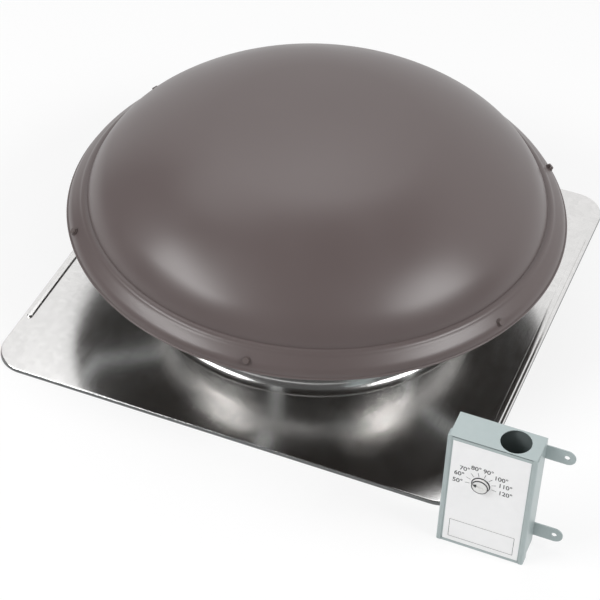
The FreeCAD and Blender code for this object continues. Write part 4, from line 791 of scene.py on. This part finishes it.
# The rim's top and upper side take the black ink: painted shadow of the gap round the dial.
choose("FACE", lambda p: p.xy.length > (dial_radius - shadow_rim_width) * mm
       and p.z > (dial_face - shadow_rim_depth) * mm)
dial.active_material_index = 1
bpy.ops.object.material_slot_assign()
begin()
pointer_place = (dial_radius - pointer_inward, 0, dial_face - face_sink)
bpy.ops.mesh.primitive_cylinder_add(vertices=3, radius=pointer_reach * mm, depth=pointer_thick * mm,
                                    location=Vector(pointer_place) * mm, rotation=(0, 0, math.radians(-90)))
pointer = bpy.context.object
bpy.ops.object.mode_set(mode="EDIT")
choose("EDGE", lambda p: p.z > near)
bpy.ops.mesh.bevel(offset=pointer_round * mm, segments=2, affect="EDGES")
begin()
pointer.data.materials.append(ink)
for item in (pointer, dial):
    item.select_set(True)
bpy.context.view_layer.objects.active = dial
bpy.ops.object.join()
dial.rotation_euler = (math.radians(90), -rest_angle, 0)
dial.location = dial_middle * mm
complete(dial, "dial_disc", "dial", "dial_plastic", moulded, "dial")


# Working parts of the thermostat: the brass spindle, its bush and range nut, the terminals, the
# moulded switch and the strip of two metals that bends with the heat.
# Turned brass: fine lathe lines round the spindle's axis and a little tarnish.
brass = finish("turned_brass", "#c5a05a", 1, 0.3)
tree = brass.node_tree
spot = add(tree, "ShaderNodeTexCoord").outputs["Object"]
lined = add(tree, "ShaderNodeMapping", {"Vector": spot, "Scale": (0.03, 1, 0.03)})
lines = add(tree, "ShaderNodeTexNoise", {"Vector": lined.outputs[0], "Scale": 2500, "Detail": 2})
gloss = add(tree, "ShaderNodeMapRange", {"Value": lines.outputs[0], "To Min": 0.2, "To Max": 0.42})
link(brass, "Roughness", gloss.outputs[0])
tarnish = add(tree, "ShaderNodeTexNoise", {"Vector": spot, "Scale": 150, "Detail": 3})
tint = add(tree, "ShaderNodeMix", {0: tarnish.outputs[0], 6: linear("#a98443"), 7: linear("#cfac68")},
           data_type="RGBA")
link(brass, "Base Color", tint.outputs[2])
dress(brass, "dial_spindle", "spindle_bush", "range_nut", "switch_terminals", "terminal_screws")

# Moulded phenolic resin, dark brown and speckled by its wood filler.
phenolic = finish("moulded_phenolic_dark", "#241b17", 0, 0.45)
tree = phenolic.node_tree
spot = add(tree, "ShaderNodeTexCoord").outputs["Object"]
filler = add(tree, "ShaderNodeTexNoise", {"Vector": spot, "Scale": 600, "Detail": 4})
tint = add(tree, "ShaderNodeMix", {0: filler.outputs[0], 6: linear("#1c1512"), 7: linear("#30241e")},
           data_type="RGBA")
link(phenolic, "Base Color", tint.outputs[2])
dress(phenolic, "switch_body")

# Rolled bimetal, a pale nickel alloy with fine lines along the strip.
bimetal = finish("rolled_bimetal_strip", "#a8997e", 1, 0.3)
tree = bimetal.node_tree
spot = add(tree, "ShaderNodeTexCoord").outputs["Object"]
lined = add(tree, "ShaderNodeMapping", {"Vector": spot, "Scale": (1, 1, 0.03)})
lines = add(tree, "ShaderNodeTexNoise", {"Vector": lined.outputs[0], "Scale": 1500, "Detail": 2})
gloss = add(tree, "ShaderNodeMapRange", {"Value": lines.outputs[0], "To Min": 0.22, "To Max": 0.4})
link(bimetal, "Roughness", gloss.outputs[0])
tint = add(tree, "ShaderNodeMix", {0: lines.outputs[0], 6: linear("#95876d"), 7: linear("#b8a98c")},
           data_type="RGBA")
link(bimetal, "Base Color", tint.outputs[2])
dress(bimetal, "bimetal_strip")
